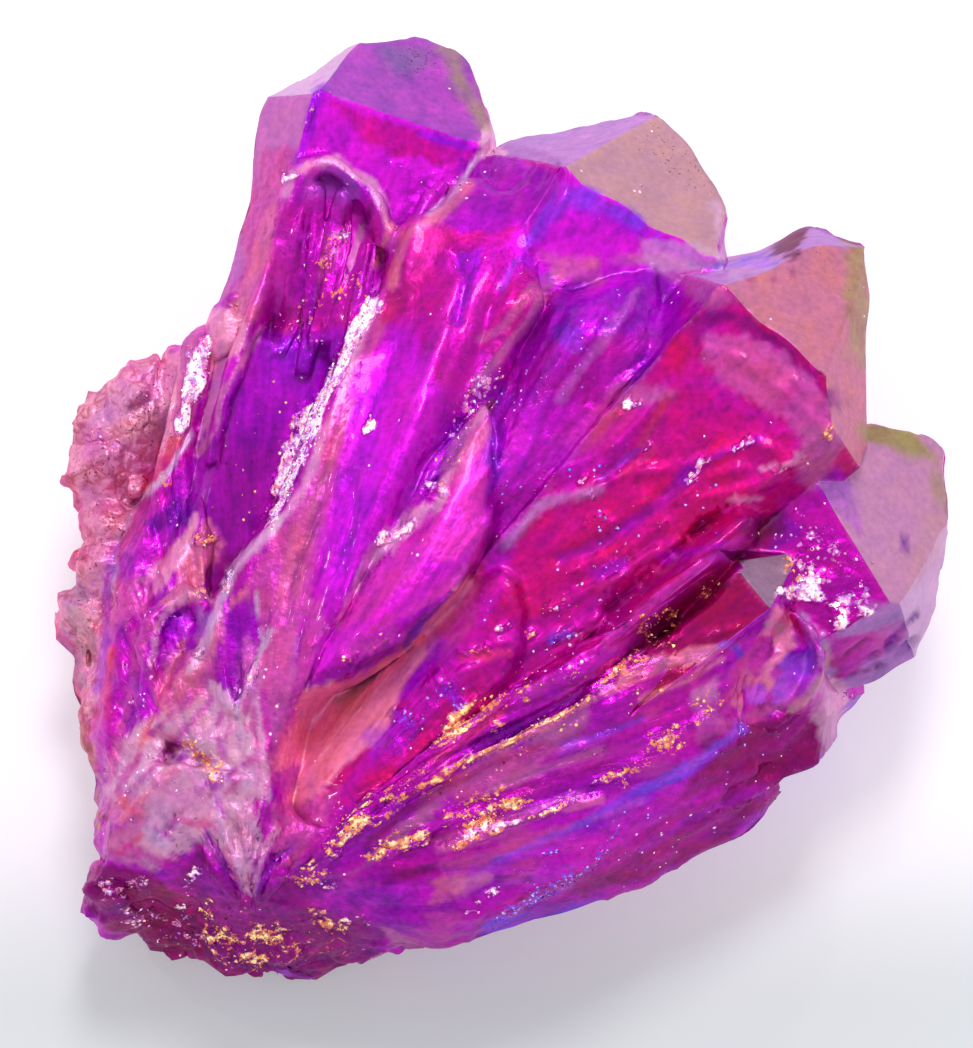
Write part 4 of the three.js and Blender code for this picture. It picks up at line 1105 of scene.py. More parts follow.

# %% Lines to paint
# coat, strength, half width | path
# far-east point: its slots painted dark as shade
# glassy loops of the mound; the blush lines are painted glints
# veins of the mound; the blush lines are painted glints
LINES = table("""
mist 0.7 0.4 | 46,64 47,57 47,51
# arch, edges and bands of the north point
pink 0.9 0.45 | -40,66 -39,70 -35,72 -30,73 -26,70 -23,68 -21,64 -20,60
coral 0.8 0.35 | -19,60 -21,55 -22,52
violet 0.9 0.4 | -13,78 -2,75
violet 0.7 0.5 | -33,88 -35,82 -36,77 -38,72
mist 0.8 0.35 | -2,73 -6,67 -11,62
coral 0.8 0.5 | -3,68 -9,62 -16,58 -18,52 -19,48
# flutes
plum 0.8 0.3 | -37,57 -39,49 -40,39
plum 0.8 0.3 | -28,64 -30,57 -33,51
plum 0.7 0.3 | -23,64 -25,58 -28,50
purple 0.8 0.35 | -34,47 -36,38
rose 0.7 0.3 | -31,58 -33,52 -34,45
pink 0.6 0.3 | -25,59 -27,52
# slab edges
mauve 0.9 0.3 | -45,39 -49,32 -53,26 -54,19 -58,14
mist 0.9 0.35 | -59,18 -64,10 -70,4 -74,-4 -75,-13
pink 0.9 0.45 | -22,44 -26,36 -29,26 -33,17 -36,8 -40,2 -47,-5
mist 0.8 0.45 | -41,1 -46,-4 -50,-8 -53,-15 -56,-23 -59,-29
coral 0.6 0.4 | -27,25 -31,13 -36,1
plum 0.6 0.25 | -33,5 -37,-7 -40,-15
# west ridges
violet 0.6 0.45 | -74,-4 -76,-13 -76,-23 -78,-33
coral 0.8 0.35 | -60,-23 -63,-29 -65,-36
pink 0.8 0.3 | -67,-28 -66,-21 -63,-16 -59,-14 -56,-14 -53,-18
fire 0.7 0.35 | -75,-25 -76,-33 -76,-38
fire 0.6 0.3 | -67,-39 -69,-44 -70,-48
rose 0.7 0.3 | -71,-35 -73,-42 -75,-51
# pit
mist 0.9 0.25 | -54,-33 -52,-36 -50,-37 -48,-33 -46,-27 -43,-21
mist 0.8 0.25 | -46,-14 -46,-19 -45,-23
mist 0.7 0.3 | -50,-38 -48,-42 -47,-47 -48,-53
coral 0.7 0.4 | -62,-49 -69,-55 -74,-62
fire 0.5 0.3 | -68,-61 -71,-64 -74,-66
# veins of the mound
magenta 0.6 0.3 | -73,-55 -67,-49 -61,-42 -55,-35
rose 0.7 0.35 | -65,-63 -59,-55 -51,-53 -47,-47
magenta 0.5 0.25 | -51,-39 -53,-47 -57,-53 -63,-55
purple 0.5 0.25 | -75,-61 -69,-59 -63,-63
blush 0.9 0.4 | -63,-47 -59,-44 -53,-44
blush 0.9 0.3 | -57,-59 -53,-53 -50,-45
blush 0.8 0.4 | -71,-51 -67,-47 -64,-43
blush 0.7 0.3 | -46,-35 -45,-43 -44,-51
rose 0.6 0.3 | -48,-35 -49,-45 -48,-55
# glassy loops of the mound
blush 0.9 0.3 | -55,-32 -52,-35 -50,-37 -48,-39
mist 0.8 0.3 | -50,-37 -49,-42 -49,-47 -48,-54
purple 0.8 0.3 | -63,-44 -62,-44 -60,-45 -61,-47 -63,-46
blush 0.9 0.9 | -59,-44 -56,-46 -54,-49
sand 0.5 0.8 | -58,-44 -55,-46
purple 0.7 0.35 | -56,-52 -54,-52 -51,-50 -49,-48
pink 0.8 1.2 | -65,-53 -60,-55 -56,-58
mist 0.8 0.5 | -68,-61 -66,-63 -64,-64
coral 0.8 0.4 | -73,-55 -71,-57 -69,-59
fire 0.5 0.25 | -72,-56 -70,-58
mist 0.8 0.5 | -48,-60 -46,-62 -45,-65
magenta 0.7 0.35 | -59,-35 -63,-38 -67,-42
magenta 0.6 0.3 | -53,-38 -54,-42 -53,-46
rose 0.7 0.4 | -69,-46 -72,-50 -74,-54
magenta 0.7 0.35 | -45,-33 -44,-39 -43,-45
hot 0.5 0.3 | -54,-55 -53,-58 -54,-61
berry 0.7 0.3 | -58,-64 -56,-68 -54,-71
magenta 0.8 0.5 | -72,-65 -67,-67 -63,-68
rose 0.8 0.4 | -62,-59 -58,-60 -55,-60
# fan
mist 0.8 0.4 | -48,-73 -51,-67 -54,-58
milk 0.8 0.4 | -48,-73 -48,-65 -48,-58
milk 0.8 0.35 | -47,-74 -45,-67 -42,-61
purple 0.8 0.45 | -50,-72 -53,-67 -56,-62
violet 0.6 0.35 | -46,-73 -43,-68 -39,-65
coral 0.6 0.3 | -50,-71 -52,-65
# spine
mauve 0.5 0.4 | -1,37 3,39 9,47 11,49
mauve 0.8 0.5 | 13,50 9,41 3,34 -2,28
purple 0.85 0.6 | 2,30 -3,24 -8,17 -13,9 -16,6
pink 0.7 0.35 | 1,24 -5,17 -8,11 -9,5
hotpink 0.8 0.4 | -1,-7 -9,-14 -19,-19 -29,-25
plum 0.8 0.25 | -2,-8 -11,-18 -18,-22
# violet crystal
purple 0.6 0.6 | 14,44 19,49 27,52 33,50 37,45 38,39
lilac 0.3 0.5 | 30,47 25,39 19,31 15,25
violet 0.5 0.45 | 12,25 9,17 7,11
blue 0.35 0.4 | 15,68 12,63 8,56
violet 0.6 0.5 | 7,54 12,49
blue 0.33 0.4 | 6,53 3,47
lilac 0.7 0.5 | 4,-4 11,4 23,7
mauve 0.6 0.5 | 31,25 37,26
blue 0.39 0.35 | 23,9 28,13 32,17
# east point
violet 0.5 0.4 | 39,9 43,12 49,15 55,17
purple 0.5 0.6 | 15,-7 23,-4 35,4 41,11
violet 0.5 0.5 | 35,-7 43,-5 47,-4
fire 0.7 0.45 | 36,25 34,21 31,16
fire 0.6 0.35 | 34,15 27,10
crimson 0.8 0.4 | 67,35 63,38
lilac 0.8 0.3 | 41,52 51,51 57,49 63,51
blue 0.5 0.25 | 43,51 50,52 58,52
plum 0.5 0.2 | 51,50 55,48 61,50
rose 0.5 0.3 | 47,45 55,45 61,47
pink 0.6 0.3 | 55,11 61,12 63,14
pink 0.5 0.3 | 49,5 55,5
# far-east point
indigo 0.8 0.18 | 83,-2 84,-6
maroon 0.8 0.3 | 72,-26 76,-23
maroon 0.9 0.25 | 76,-27 78,-26
indigo 0.8 0.25 | 80,-25 82,-22
maroon 0.7 0.25 | 73,-30 79,-28
purple 0.7 0.25 | 82,-26 86,-23
indigo 0.6 0.2 | 83,-21 86,-18
lilac 0.7 0.3 | 75,-29 81,-26 86,-22
# side point, terrace crests
mauve 0.7 0.4 | 50,-24 43,-26 35,-28
coral 0.8 0.35 | 39,-27 31,-31 23,-34
salmon 0.8 0.35 | 21,-35 13,-40 7,-43 -1,-46 -9,-50
salmon 0.7 0.35 | 23,-55 15,-57 7,-59 -3,-63 -9,-65
violet 0.8 0.5 | 23,-58 32,-53 41,-49 51,-41
blue 0.7 0.3 | 31,-54 41,-49 50,-41
blue 0.6 0.4 | 31,-39 23,-42 15,-44
violet 0.7 0.5 | 21,-61 27,-58 33,-54
violet 0.6 0.5 | -9,-23 -17,-35
purple 0.7 0.35 | 31,-23 15,-33 3,-39
# low band
iris 0.6 0.35 | -3,-71 7,-65 19,-60 31,-55
iris 0.5 0.4 | 7,-76 15,-73 23,-67
iris 0.5 0.4 | 31,-53 41,-48 50,-41
wine 0.7 0.3 | -11,-63 -3,-60 3,-58
berry 0.6 0.35 | 7,-53 15,-50 25,-48
berry 0.6 0.3 | -5,-43 3,-38 11,-35
wine 0.6 0.25 | -17,-55 -9,-50 -1,-46
berry 0.7 0.35 | -25,-65 -17,-58 -11,-55
blue 0.55 0.35 | 2,-67 15,-62 27,-55 40,-48
violet 0.6 0.5 | -3,-71 11,-65 23,-60
hot 0.6 0.8 | -3,-77 11,-71 23,-67
rose 0.8 0.7 | -9,-64 3,-60 19,-55
salmon 0.6 0.6 | -6,-73 0,-71
orchid 0.6 0.7 | 4,-60 17,-55
maroon 0.6 0.5 | -20,-71 -11,-69
berry 0.8 0.8 | 19,-73 31,-67 45,-58
wine 0.6 0.4 | 7,-75 19,-70 27,-65
hot 0.5 0.5 | 23,-65 35,-58 47,-53
violet 0.4 0.4 | 31,-65 43,-58 55,-53
plum 0.5 0.4 | 7,-47 19,-42 31,-38
hotpink 0.5 0.5 | 15,-49 27,-45 41,-42
mauve 0.6 0.5 | 1,-53 11,-49 23,-45
wine 0.5 0.35 | -11,-55 -1,-49 11,-44
fire 0.5 0.4 | -11,-47 -3,-42 3,-38
salmon 0.6 0.4 | 31,-35 41,-31 47,-27
fire 0.6 0.22 | -5,-27 3,-25
plum 0.5 0.3 | -9,-35 3,-29 15,-23
crimson 0.6 0.4 | -1,-35 11,-29 23,-23
purple 0.5 0.3 | -17,-49 -9,-43 -1,-39
wine 0.5 0.3 | 15,-33 27,-27 39,-21
violet 0.6 0.7 | -18,-38 -15,-41
violet 0.6 0.7 | -8,-33 -6,-35
blue 0.5 0.5 | 13,-23 16,-22
violet 0.5 0.7 | 22,-10 27,-8
blue 0.3 0.5 | 23,-43 15,-46
# petals
lilac 0.9 0.3 | 63,-18 65,-20 67,-22 67,-25 67,-28
sand 0.8 0.3 | 68,-24 68,-29 66,-32 64,-35 61,-37
crimson 0.9 0.35 | 60,-18 62,-20 63,-24
salmon 0.9 0.35 | 58,-17 60,-20 61,-24 59,-26 56,-29 57,-32
sand 0.8 0.25 | 56,-20 58,-20 59,-21
blue 0.8 0.4 | 47,-24 49,-24 51,-26
blue 0.8 0.5 | 50,-40 51,-41
fire 0.5 0.3 | 52,-26 50,-30 48,-35
# south-east end
mauve 0.4 0.4 | 43,-43 51,-39 63,-35
plum 0.5 0.4 | 55,-47 61,-43 63,-39
# terraces
fire 0.6 0.3 | -1,-27 7,-25
""")
print("lines:", len(LINES))

# %% Base coats
RIM_COAT = 0.85


def mixed(first, second, share):
    """First where share is 0, second where it is 1, and between them otherwise."""
    return first * (1 - share) + second * share


drift = between(-0.5, 0.5, noise_field(flow, (7, 16, 9), 2, 71))[:, None]
second = between(0.05, 0.5, noise_field(flow, (5, 12, 8), 2, 83))[:, None]
third = between(0.15, 0.55, noise_field(flow, (4, 10, 6), 2, 97))[:, None]
base = mixed(coat("magenta"), coat("purple"), drift)
base = mixed(base, coat("hot"), 0.7 * second)
base = mixed(base, coat("rose"), 0.6 * third)
base = mixed(base, coat("coral"), westward()[:, None])
base = mixed(base, coat("wine"), RIM_COAT * rim[:, None])
paint = base[corner_point]
print("drifting base coat on", len(paint), "corners")

# %% Coats of the flat faces
# faces that no row names, underneath and behind, take two of these at random
UNSEEN_COATS = ("magenta", "purple", "violet", "hot", "berry", "rose", "blue", "crimson")
PALE_END = 0.6

chance = random.Random(5)
far = between(15, 80, out_from_root)[:, None]
pale_end = between(52, 72, out_from_root)[:, None]
for number in np.unique(face_facet[face_facet > 0]):
    corners = np.flatnonzero(corner_facet == number)
    share = far[corner_point[corners]]
    if number <= len(FACETS):
        near_coat, far_coat = (coat(name) for name in FACETS[number - 1][1:3])
        paint[corners] = mixed(near_coat, far_coat, share)
    else:
        near_coat, far_coat = (coat(name) for name in chance.sample(UNSEEN_COATS, 2))
        pale = PALE_END * pale_end[corner_point[corners]]
        paint[corners] = mixed(mixed(near_coat, far_coat, share), coat("mallow"), pale)
print("painted faces:", len(np.unique(face_facet)) - 1)

# %% Brush on the areas and lines
# only these coats may run over the clean tips
TIP_TINTS = {"blush", "olive", "slate", "indigo", "blue", "maroon", "mist", "violet", "plum", "sand"}

tip_numbers = [number for number, (name, *_) in enumerate(FACETS, start=1) if "front" not in name]
on_tip = np.isin(corner_facet, tip_numbers)
strokes = [(name, strength, 0, soft, path, True, WANDER) for name, strength, soft, path in AREAS]
strokes += [(name, strength, half, half, path, False, LINE_WANDER) for name, strength, half, path in LINES]
for name, strength, half_width, soft, path, closed, roughness in strokes:
    cover = np.zeros(len(points))
    near, weight = brush(path, half_width, soft, closed, roughness)
    cover[near] = weight * strength
    corner_cover = cover[corner_point]
    if name not in TIP_TINTS:
        corner_cover = corner_cover * ~on_tip
    touched = np.flatnonzero(corner_cover)
    paint[touched] = mixed(paint[touched], coat(name), corner_cover[touched][:, None])
print("strokes:", len(strokes))

# %% Paler sharp edges
EDGE_PALING = 0.1

# a pale mist colour is laid along the sharp edges, patchy by noise
edge_paling = EDGE_PALING * on_edge * between(-0.3, 0.4, noise_field(place_mm, 2.5, 2, 87))
paint = mixed(paint, coat("mist"), edge_paling[corner_point][:, None])
print("worn points:", int((edge_paling > 0).sum()))

# %% Where it is speckled
# how speckled, width of the soft edge | outline
SPECKLES = table("""
1 1 | -22,96 -12,97 -9,93 -13,90 -18,89 -21,92
0.5 1 | -37,88 -21,94 -9,96 -1,87 1,79 -9,87 -21,87 -37,81
0.6 1 | 23,81 39,80 46,65 39,67 31,75
0.5 1 | 59,57 76,54 76,45 61,49
0.5 1 | -3,65 7,55 3,39 -9,25 -17,39 -9,57
0.8 1 | -85,17 -73,29 -59,33 -59,19 -71,1 -77,-35 -81,-35
0.4 1 | -54,25 -31,35 -37,17 -45,1 -54,-7
0.2 1 | -75,-53 -65,-39 -49,-39 -45,-55 -67,-67
""")

speckle = brushed(SPECKLES)
print("speckled share:", round(float((speckle > 0.1).mean()), 3))

# %% [markdown]
# ## Painted shade in hollows, painted highlight on crests
#
# Grooves are painted deeper and bluer as shade, and crests are painted rosier as highlight, by the same
# relief that carved them. That ties colour to shape.

# %% Painted shade and highlight by relief
PAINTED_CREST_HIGHLIGHT = 0.22
PAINTED_HOLLOW_SHADE = 0.35

height = (ground_share * (0.6 * flute + 0.5 * rib * fine_flow + 0.8 * lump) + 1.6 * drawn)[corner_point]
# crests painted rosier as highlight, hollows painted darker and bluer as shade
paint = mixed(paint, coat("hotpink"), (PAINTED_CREST_HIGHLIGHT * between(0.35, 1.1, height))[:, None])
paint = mixed(paint, coat("indigo"), (PAINTED_HOLLOW_SHADE * between(-0.1, -0.9, height))[:, None])
print("crest corners:", int((height > 0.7).sum()), "hollow corners:", int((height < -0.5).sum()))

# %% [markdown]
# ## Sparkles and painted glints
#
# Patches of the stone are crusted with tiny crystals. Their points of light are painted glints: white,
# gold, or blue-white where the film is thin, laid into the coat's colour and made to glow. The white strips
# of the wall foot, the blade band and the far-east point are painted highlights. Where they lie, and how
# thickly, is brushed on as the colours are.

# %% Where it sparkles: painted glints and grains
# kind, density, half width | path
# wall foot: painted highlight strips
GLINTS = table("""
# slab
gold 0.22 1.6 | -37,21 -40,11 -44,3
gold 0.14 2.5 | -41,29 -47,17 -51,1
gold 0.2 0.5 | -50,27 -52,19
white 0.16 1.5 | -31,35 -35,27
# small glints of the ridges
white 0.3 1 | -17,71 -9,68 -5,70
white 0.22 1.5 | -71,-15 -67,-27 -71,-39
white 0.25 1.2 | -71,-55 -65,-49 -57,-55 -63,-63
white 0.2 1.5 | -45,-23 -43,-35 -41,-47
blue 0.25 2 | 3,25 15,29 23,39
blue 0.3 0.8 | 3,5 11,9 19,11 27,15
blue 0.2 2 | 15,-7 31,1 43,5
white 0.2 2 | -5,-39 15,-27 31,-17
gold 0.2 2 | -9,-55 15,-39 43,-27
blue 0.16 2 | 23,-61 43,-51 59,-43
white 0.16 2 | 31,-67 47,-59 61,-49
# wall foot
white 1 0.7 | -22,44 -26,39 -29,33 -31,28 -34,22 -36,17 -38,12 -40,7
white 1 0.7 | -33,26 -36,20 -39,13 -42,7
white 0.7 0.5 | -36,23 -39,17 -41,11
white 0.9 0.5 | -40,5 -43,2 -44,0
white 0.8 0.5 | -34,25 -36,20 -38,15
white 0.9 0.3 | -49,-8 -51,-10 -52,-13
white 0.7 0.25 | -18,60 -19,57
# blade band
white 1 0.9 | -56,36 -58,34 -58,30 -59,26
white 1 0.7 | -60,23 -61,19
# west
gold 0.9 0.6 | -58,-3 -55,-3
white 0.8 0.5 | -46,-28 -48,-32
white 0.7 0.35 | -50,-36 -48,-33
white 0.7 0.5 | -60,-25 -58,-26
gold 0.6 0.5 | -68,-27 -67,-30
gold 0.6 0.35 | -59,-14 -56,-13
white 0.5 0.3 | -67,-27 -65,-21 -63,-18
gold 0.55 0.9 | -60,-44 -58,-44
gold 0.6 1.1 | -57,-48 -54,-49
white 0.5 0.4 | -68,-47 -66,-46
white 0.5 0.3 | -72,-42 -71,-44
white 0.35 0.25 | -76,-45 -76,-51
white 0.5 0.4 | -76,-3 -75,-5
white 0.4 0.8 | -77,17 -74,15
white 0.35 0.5 | -67,25 -67,21
white 0.4 0.7 | -79,-13 -78,-17
gold 0.3 0.6 | -64,9 -63,5
white 0.3 0.6 | -65,3 -62,1
# arch
white 1 0.5 | -40,69 -38,70
white 0.6 0.25 | -35,83 -36,79
white 0.4 0.25 | -39,75 -38,72
# flutes
gold 0.5 0.8 | -31,57 -33,52
white 0.4 0.6 | -35,41 -34,45
gold 0.35 1.2 | -37,43 -31,47
white 0.3 1.4 | -42,41 -35,37
gold 0.35 0.9 | -27,47 -25,49
white 0.5 0.2 | -29,57 -28,59
white 0.3 0.8 | -26,37 -29,34
# spine
white 0.9 0.35 | -24,19 -23,20
white 0.9 0.5 | -21,-3 -18,-2 -15,0
white 0.5 0.25 | -35,-25 -33,-22 -31,-19 -28,-15
gold 0.6 0.3 | -29,-27 -23,-25 -20,-23
white 0.5 0.5 | 31,67 31,67
gold 0.4 1.2 | 1,31 -3,25 -6,19 -8,13
white 0.45 1 | 0,29 -3,24 -6,18
white 0.5 0.6 | -12,8 -9,7
white 0.4 0.4 | -15,6 -11,5
white 0.5 0.3 | 14,49 15,48
gold 0.3 0.5 | 12,52 13,47
# violet crystal
blue 0.25 1.6 | 15,29 23,37
blue 0.3 0.8 | 3,21 2,9
white 0.9 0.3 | 28,24 30,24
white 0.5 0.3 | 25,23 26,22
# east point
white 0.8 0.25 | 13,10 14,10
white 0.9 0.3 | 18,8 19,9
white 0.7 0.25 | 20,6 21,6
white 0.8 0.25 | 30,16 31,17
white 0.8 0.25 | 32,15 34,14
white 0.8 0.35 | 43,12 46,13 49,15 53,17
white 0.5 0.3 | 41,9 43,11
white 0.4 0.6 | 57,11 61,12
gold 0.6 0.3 | 68,18 69,19
gold 0.4 0.3 | 63,13 64,12
white 0.6 0.25 | 51,33 52,33
blue 0.5 0.9 | 21,-1 24,0
blue 0.5 0.7 | 12,-17 15,-16
white 0.7 0.5 | 12,-25 14,-24
white 0.4 0.5 | 16,-22 18,-21
white 0.2 2 | 15,-19 27,-7
blue 0.2 2 | 31,3 43,-1
gold 0.8 0.25 | 6,-23 9,-22
gold 0.6 0.2 | -5,-26 1,-25 3,-24
gold 0.5 0.2 | -13,-32 -9,-30
gold 0.6 0.5 | 21,-33 29,-26 37,-20
gold 0.45 0.35 | 43,-15 46,-12 48,-10
white 0.6 0.25 | 31,17 34,15
white 0.7 0.3 | 3,-21 4,-20
blue 0.6 0.5 | 24,-10 26,-8 28,-7
# far-east point
gold 0.6 1.6 | 62,-8 64,-11
white 1 0.7 | 59,-13 66,-14
white 0.9 0.5 | 63,-14 66,-14
white 1 0.9 | 72,-16 71,-20
white 1 0.7 | 74,-16 76,-18
white 0.9 0.5 | 70,-17 70,-21
white 0.5 1.6 | 67,-4 73,-9
white 0.35 2.5 | 63,-1 75,-15
white 0.4 0.5 | 72,-34 74,-35
# terrace sparkles
gold 0.78 1 | -10,-44 -4,-38
gold 0.6 1 | -1,-36 3,-42
gold 0.5 0.9 | 15,-30 19,-31
gold 0.6 0.7 | 31,-27 28,-29 25,-31
gold 0.5 0.9 | 33,-23 37,-23
gold 0.6 1 | 31,-20 37,-18
gold 0.5 0.4 | 44,-12 46,-11
gold 0.8 0.22 | 29,-26 25,-30 21,-34 15,-38 11,-40 7,-42 -1,-46 -5,-48 -9,-51 -13,-52
gold 0.95 0.3 | -23,-54 -27,-60 -31,-64 -35,-69
gold 0.6 1 | -7,-59 -1,-56 7,-55
gold 0.8 0.25 | -9,-66 -3,-63 3,-61 11,-58 19,-55
white 0.8 0.5 | 21,-51 27,-50
gold 0.5 0.9 | 25,-50 33,-48
gold 0.6 0.8 | 33,-43 43,-39 47,-35
gold 0.5 0.8 | -13,-49 -17,-55 -23,-61
gold 0.7 0.7 | -31,-65 -27,-61
blue 0.5 0.5 | 50,-40 52,-41
blue 0.9 0.3 | 50,-40 51,-41
gold 0.6 0.6 | -3,-46 -9,-50 -13,-53
gold 0.5 1.2 | 3,-35 9,-33
gold 0.9 0.3 | -23,-54 -27,-59 -31,-64 -36,-69
gold 0.7 0.9 | -24,-59 -27,-61
gold 0.78 1 | -23,-66 -13,-62
gold 0.6 0.6 | -21,-55 -17,-53
gold 0.78 0.8 | -4,-60 1,-58 6,-56
white 0.7 0.25 | -9,-65 -3,-62 3,-60 7,-59
gold 0.5 0.6 | 15,-55 17,-55
gold 0.4 0.9 | 27,-52 33,-47 39,-44
blue 0.5 0.6 | 23,-44 25,-43
blue 0.5 0.5 | 19,-45 22,-45
gold 0.4 0.8 | 41,-35 47,-33
# beads low in front
blue 0.7 0.5 | 3,-79 7,-76 12,-73 15,-71 21,-69 23,-65
blue 0.8 0.6 | 2,-79 7,-76 12,-73 18,-70
white 0.8 0.3 | 1,-73 2,-73
blue 0.6 0.3 | 3,-71 8,-68 12,-66 18,-63
blue 0.6 0.25 | 23,-65 27,-60 28,-59
white 0.7 0.3 | -3,-77 -2,-76
blue 0.5 0.8 | -9,-35 -5,-33
blue 0.75 0.8 | -18,-38 -14,-41
blue 0.7 0.7 | -8,-33 -6,-35
blue 0.8 0.6 | 13,-24 16,-22
blue 0.7 0.6 | 22,-10 27,-8
blue 0.4 1 | -15,-38 -9,-35
blue 0.35 0.7 | -19,-43 -17,-45
blue 0.3 1.5 | -3,-19 3,-15
# root
white 0.6 0.8 | -76,-72 -74,-73
white 0.6 0.8 | -71,-72 -69,-71
white 0.8 0.5 | -58,-69 -60,-73
white 0.9 0.6 | -61,-77 -60,-78
gold 0.8 0.5 | -56,-76 -56,-78
gold 0.5 0.6 | -40,-71 -33,-69
gold 0.6 0.8 | -37,-71 -31,-70
white 0.7 0.3 | -32,-73 -31,-72
gold 0.8 0.8 | -55,-82 -51,-83
gold 0.7 1 | -46,-82 -42,-82
gold 0.6 1 | -49,-87 -45,-87
gold 0.5 1.2 | -54,-85 -39,-86
gold 0.7 0.7 | -34,-78 -32,-80
white 0.6 0.7 | -31,-81 -28,-80
gold 0.5 0.4 | -25,-79 -24,-80
gold 0.4 0.5 | -41,-82 -38,-83
white 0.5 1.2 | -73,-78 -67,-79
white 0.5 1 | -62,-81 -58,-83
white 0.3 1.5 | -75,-75 -63,-81
gold 0.2 2 | -53,-79 -29,-84
""")
print("sparkling strokes:", len(GLINTS))

# %% Brush on the painted glints
WARMTH = {"blue": 0.0, "white": 0.5, "gold": 1.0}
GLINT_ROUGHNESS = 0.6
SCATTERED = 0.12
RIM_SPARKLE = 0.3

sparkle = np.zeros(len(points))
warmth = np.full(len(points), WARMTH["white"])
for kind, density, half_width, path in GLINTS:
    near, weight = brush(path, half_width, half_width, roughness=GLINT_ROUGHNESS)
    sparkle[near] = np.maximum(sparkle[near], weight / dry[near] * density)
    warmth[near] += (WARMTH[kind] - warmth[near]) * between(0, 0.5, weight)
scatter = between(0.25, 0.6, noise_field(place_mm, 3.5, 2, 101)) * ground_share
sparkle = np.maximum(sparkle, SCATTERED * scatter)
sparkle = np.maximum(sparkle, RIM_SPARKLE * rim * between(-0.2, 0.4, noise_field(place_mm, 3, seed=5)))
print("sparkling share:", round(float((sparkle > 0.1).mean()), 3))

# %% [markdown]
# ## Attributes
#
# The shader reads three attributes. "coat" holds the colour, with the speckle in its alpha. "finish" holds
# the sparkle, its warmth, the milkiness and the crumple, and a crumple above 1 is the crust. "flow" holds the
# flow coordinates, so that streaks in the shader run outward from the root as the carved forms do.

# %% Keep it in attributes
def keep(mesh, name, domain, rows, kind="FLOAT_COLOR", field="color"):
    attribute = mesh.attributes.new(name, kind, domain)
    attribute.data.foreach_set(field, np.ascontiguousarray(rows, dtype=np.float32).ravel())


milkiness = np.bincount(corner_point, weights=paint[:, 3]) / corners_at
crumple = np.maximum(ground_share * (1 - 0.5 * calm), np.minimum(3 * rough, 1)) + crust
keep(cluster_mesh, "coat", "CORNER", np.column_stack([paint[:, :3], speckle[corner_point]]))
keep(cluster_mesh, "finish", "POINT", np.stack([sparkle, warmth, milkiness, crumple], axis=1))
keep(cluster_mesh, "flow", "POINT", flow, "FLOAT_VECTOR", "vector")
cluster_mesh.polygons.foreach_set("use_smooth", np.ones(len(cluster_mesh.polygons), dtype=bool))
print("attributes:", [name for name in ("coat", "finish", "flow") if name in cluster_mesh.attributes])

# %% [markdown]
# ## Tiny crystals
#
# The crust of tiny crystals is real shape, so that it glitters as the view turns. One grain is a six-sided
# cone on a short base, with a few faces. Copies of it are turned, sized and half sunk in the stone at random,
# most thickly where it sparkles, and joined in one mesh from arrays.

# %% One grain
grain_shape = bmesh.new()
bmesh.ops.create_cone(
    grain_shape, cap_ends=True, cap_tris=True, segments=6, radius1=0.5, radius2=0.0, depth=0.8
)
grain_points = np.array([vert.co[:] for vert in grain_shape.verts])
grain_faces = np.array([[vert.index for vert in face.verts] for face in grain_shape.faces])
grain_shape.free()
print("one grain:", len(grain_faces), "triangles")

# %% Seats of the grains
GRAINS = 5000
SMALLEST_GRAIN = 0.12
LARGEST_GRAIN = 0.45
GRAIN_TILT = 0.75
TILT_SHARE = 0.6

rng = np.random.default_rng(11)
triangles = corner_point.reshape(-1, 3)
corners_of = points[triangles]
sides_of = corners_of[:, 1:] - corners_of[:, :1]
area = np.linalg.norm(np.cross(sides_of[:, 0], sides_of[:, 1]), axis=1)
pull = sparkle[triangles].mean(axis=1) ** 2
chosen = rng.choice(len(triangles), size=GRAINS, p=area * pull / (area * pull).sum())
shares = rng.dirichlet((1, 1, 1), size=GRAINS)
seats = (corners_of[chosen] * shares[:, :, None]).sum(axis=1)
upright = (normals[triangles[chosen]] * shares[:, :, None]).sum(axis=1)
upright += rng.normal(0, GRAIN_TILT, size=upright.shape) * TILT_SHARE
upright /= np.linalg.norm(upright, axis=1)[:, None]
size = rng.uniform(0, 1, GRAINS) ** 2 * (LARGEST_GRAIN - SMALLEST_GRAIN) + SMALLEST_GRAIN
print("middle grain:", round(float(np.median(size)), 2), "mm")

# %% Set the grains
RAISED = 0.12

side = np.cross(upright, rng.normal(size=upright.shape))
side /= np.linalg.norm(side, axis=1)[:, None]
axes = np.stack([side, np.cross(upright, side), upright], axis=1)
grain_place = seats + upright * (size * RAISED * MM)[:, None]
all_points = (grain_points @ axes) * (size * MM)[:, None, None] + grain_place[:, None, :]
in_box = ((all_points > low_corner) & (all_points < high_corner)).all(axis=(1, 2))
all_points = all_points[in_box]
kept = len(all_points)
all_faces = grain_faces + (np.arange(kept) * len(grain_points))[:, None, None]
druse_mesh = bpy.data.meshes.new("druse")
druse_mesh.from_pydata(all_points.reshape(-1, 3).tolist(), [], all_faces.reshape(-1, 3).tolist())
druse = show("druse", druse_mesh)
print("grains:", kept, "triangles:", len(druse_mesh.polygons))

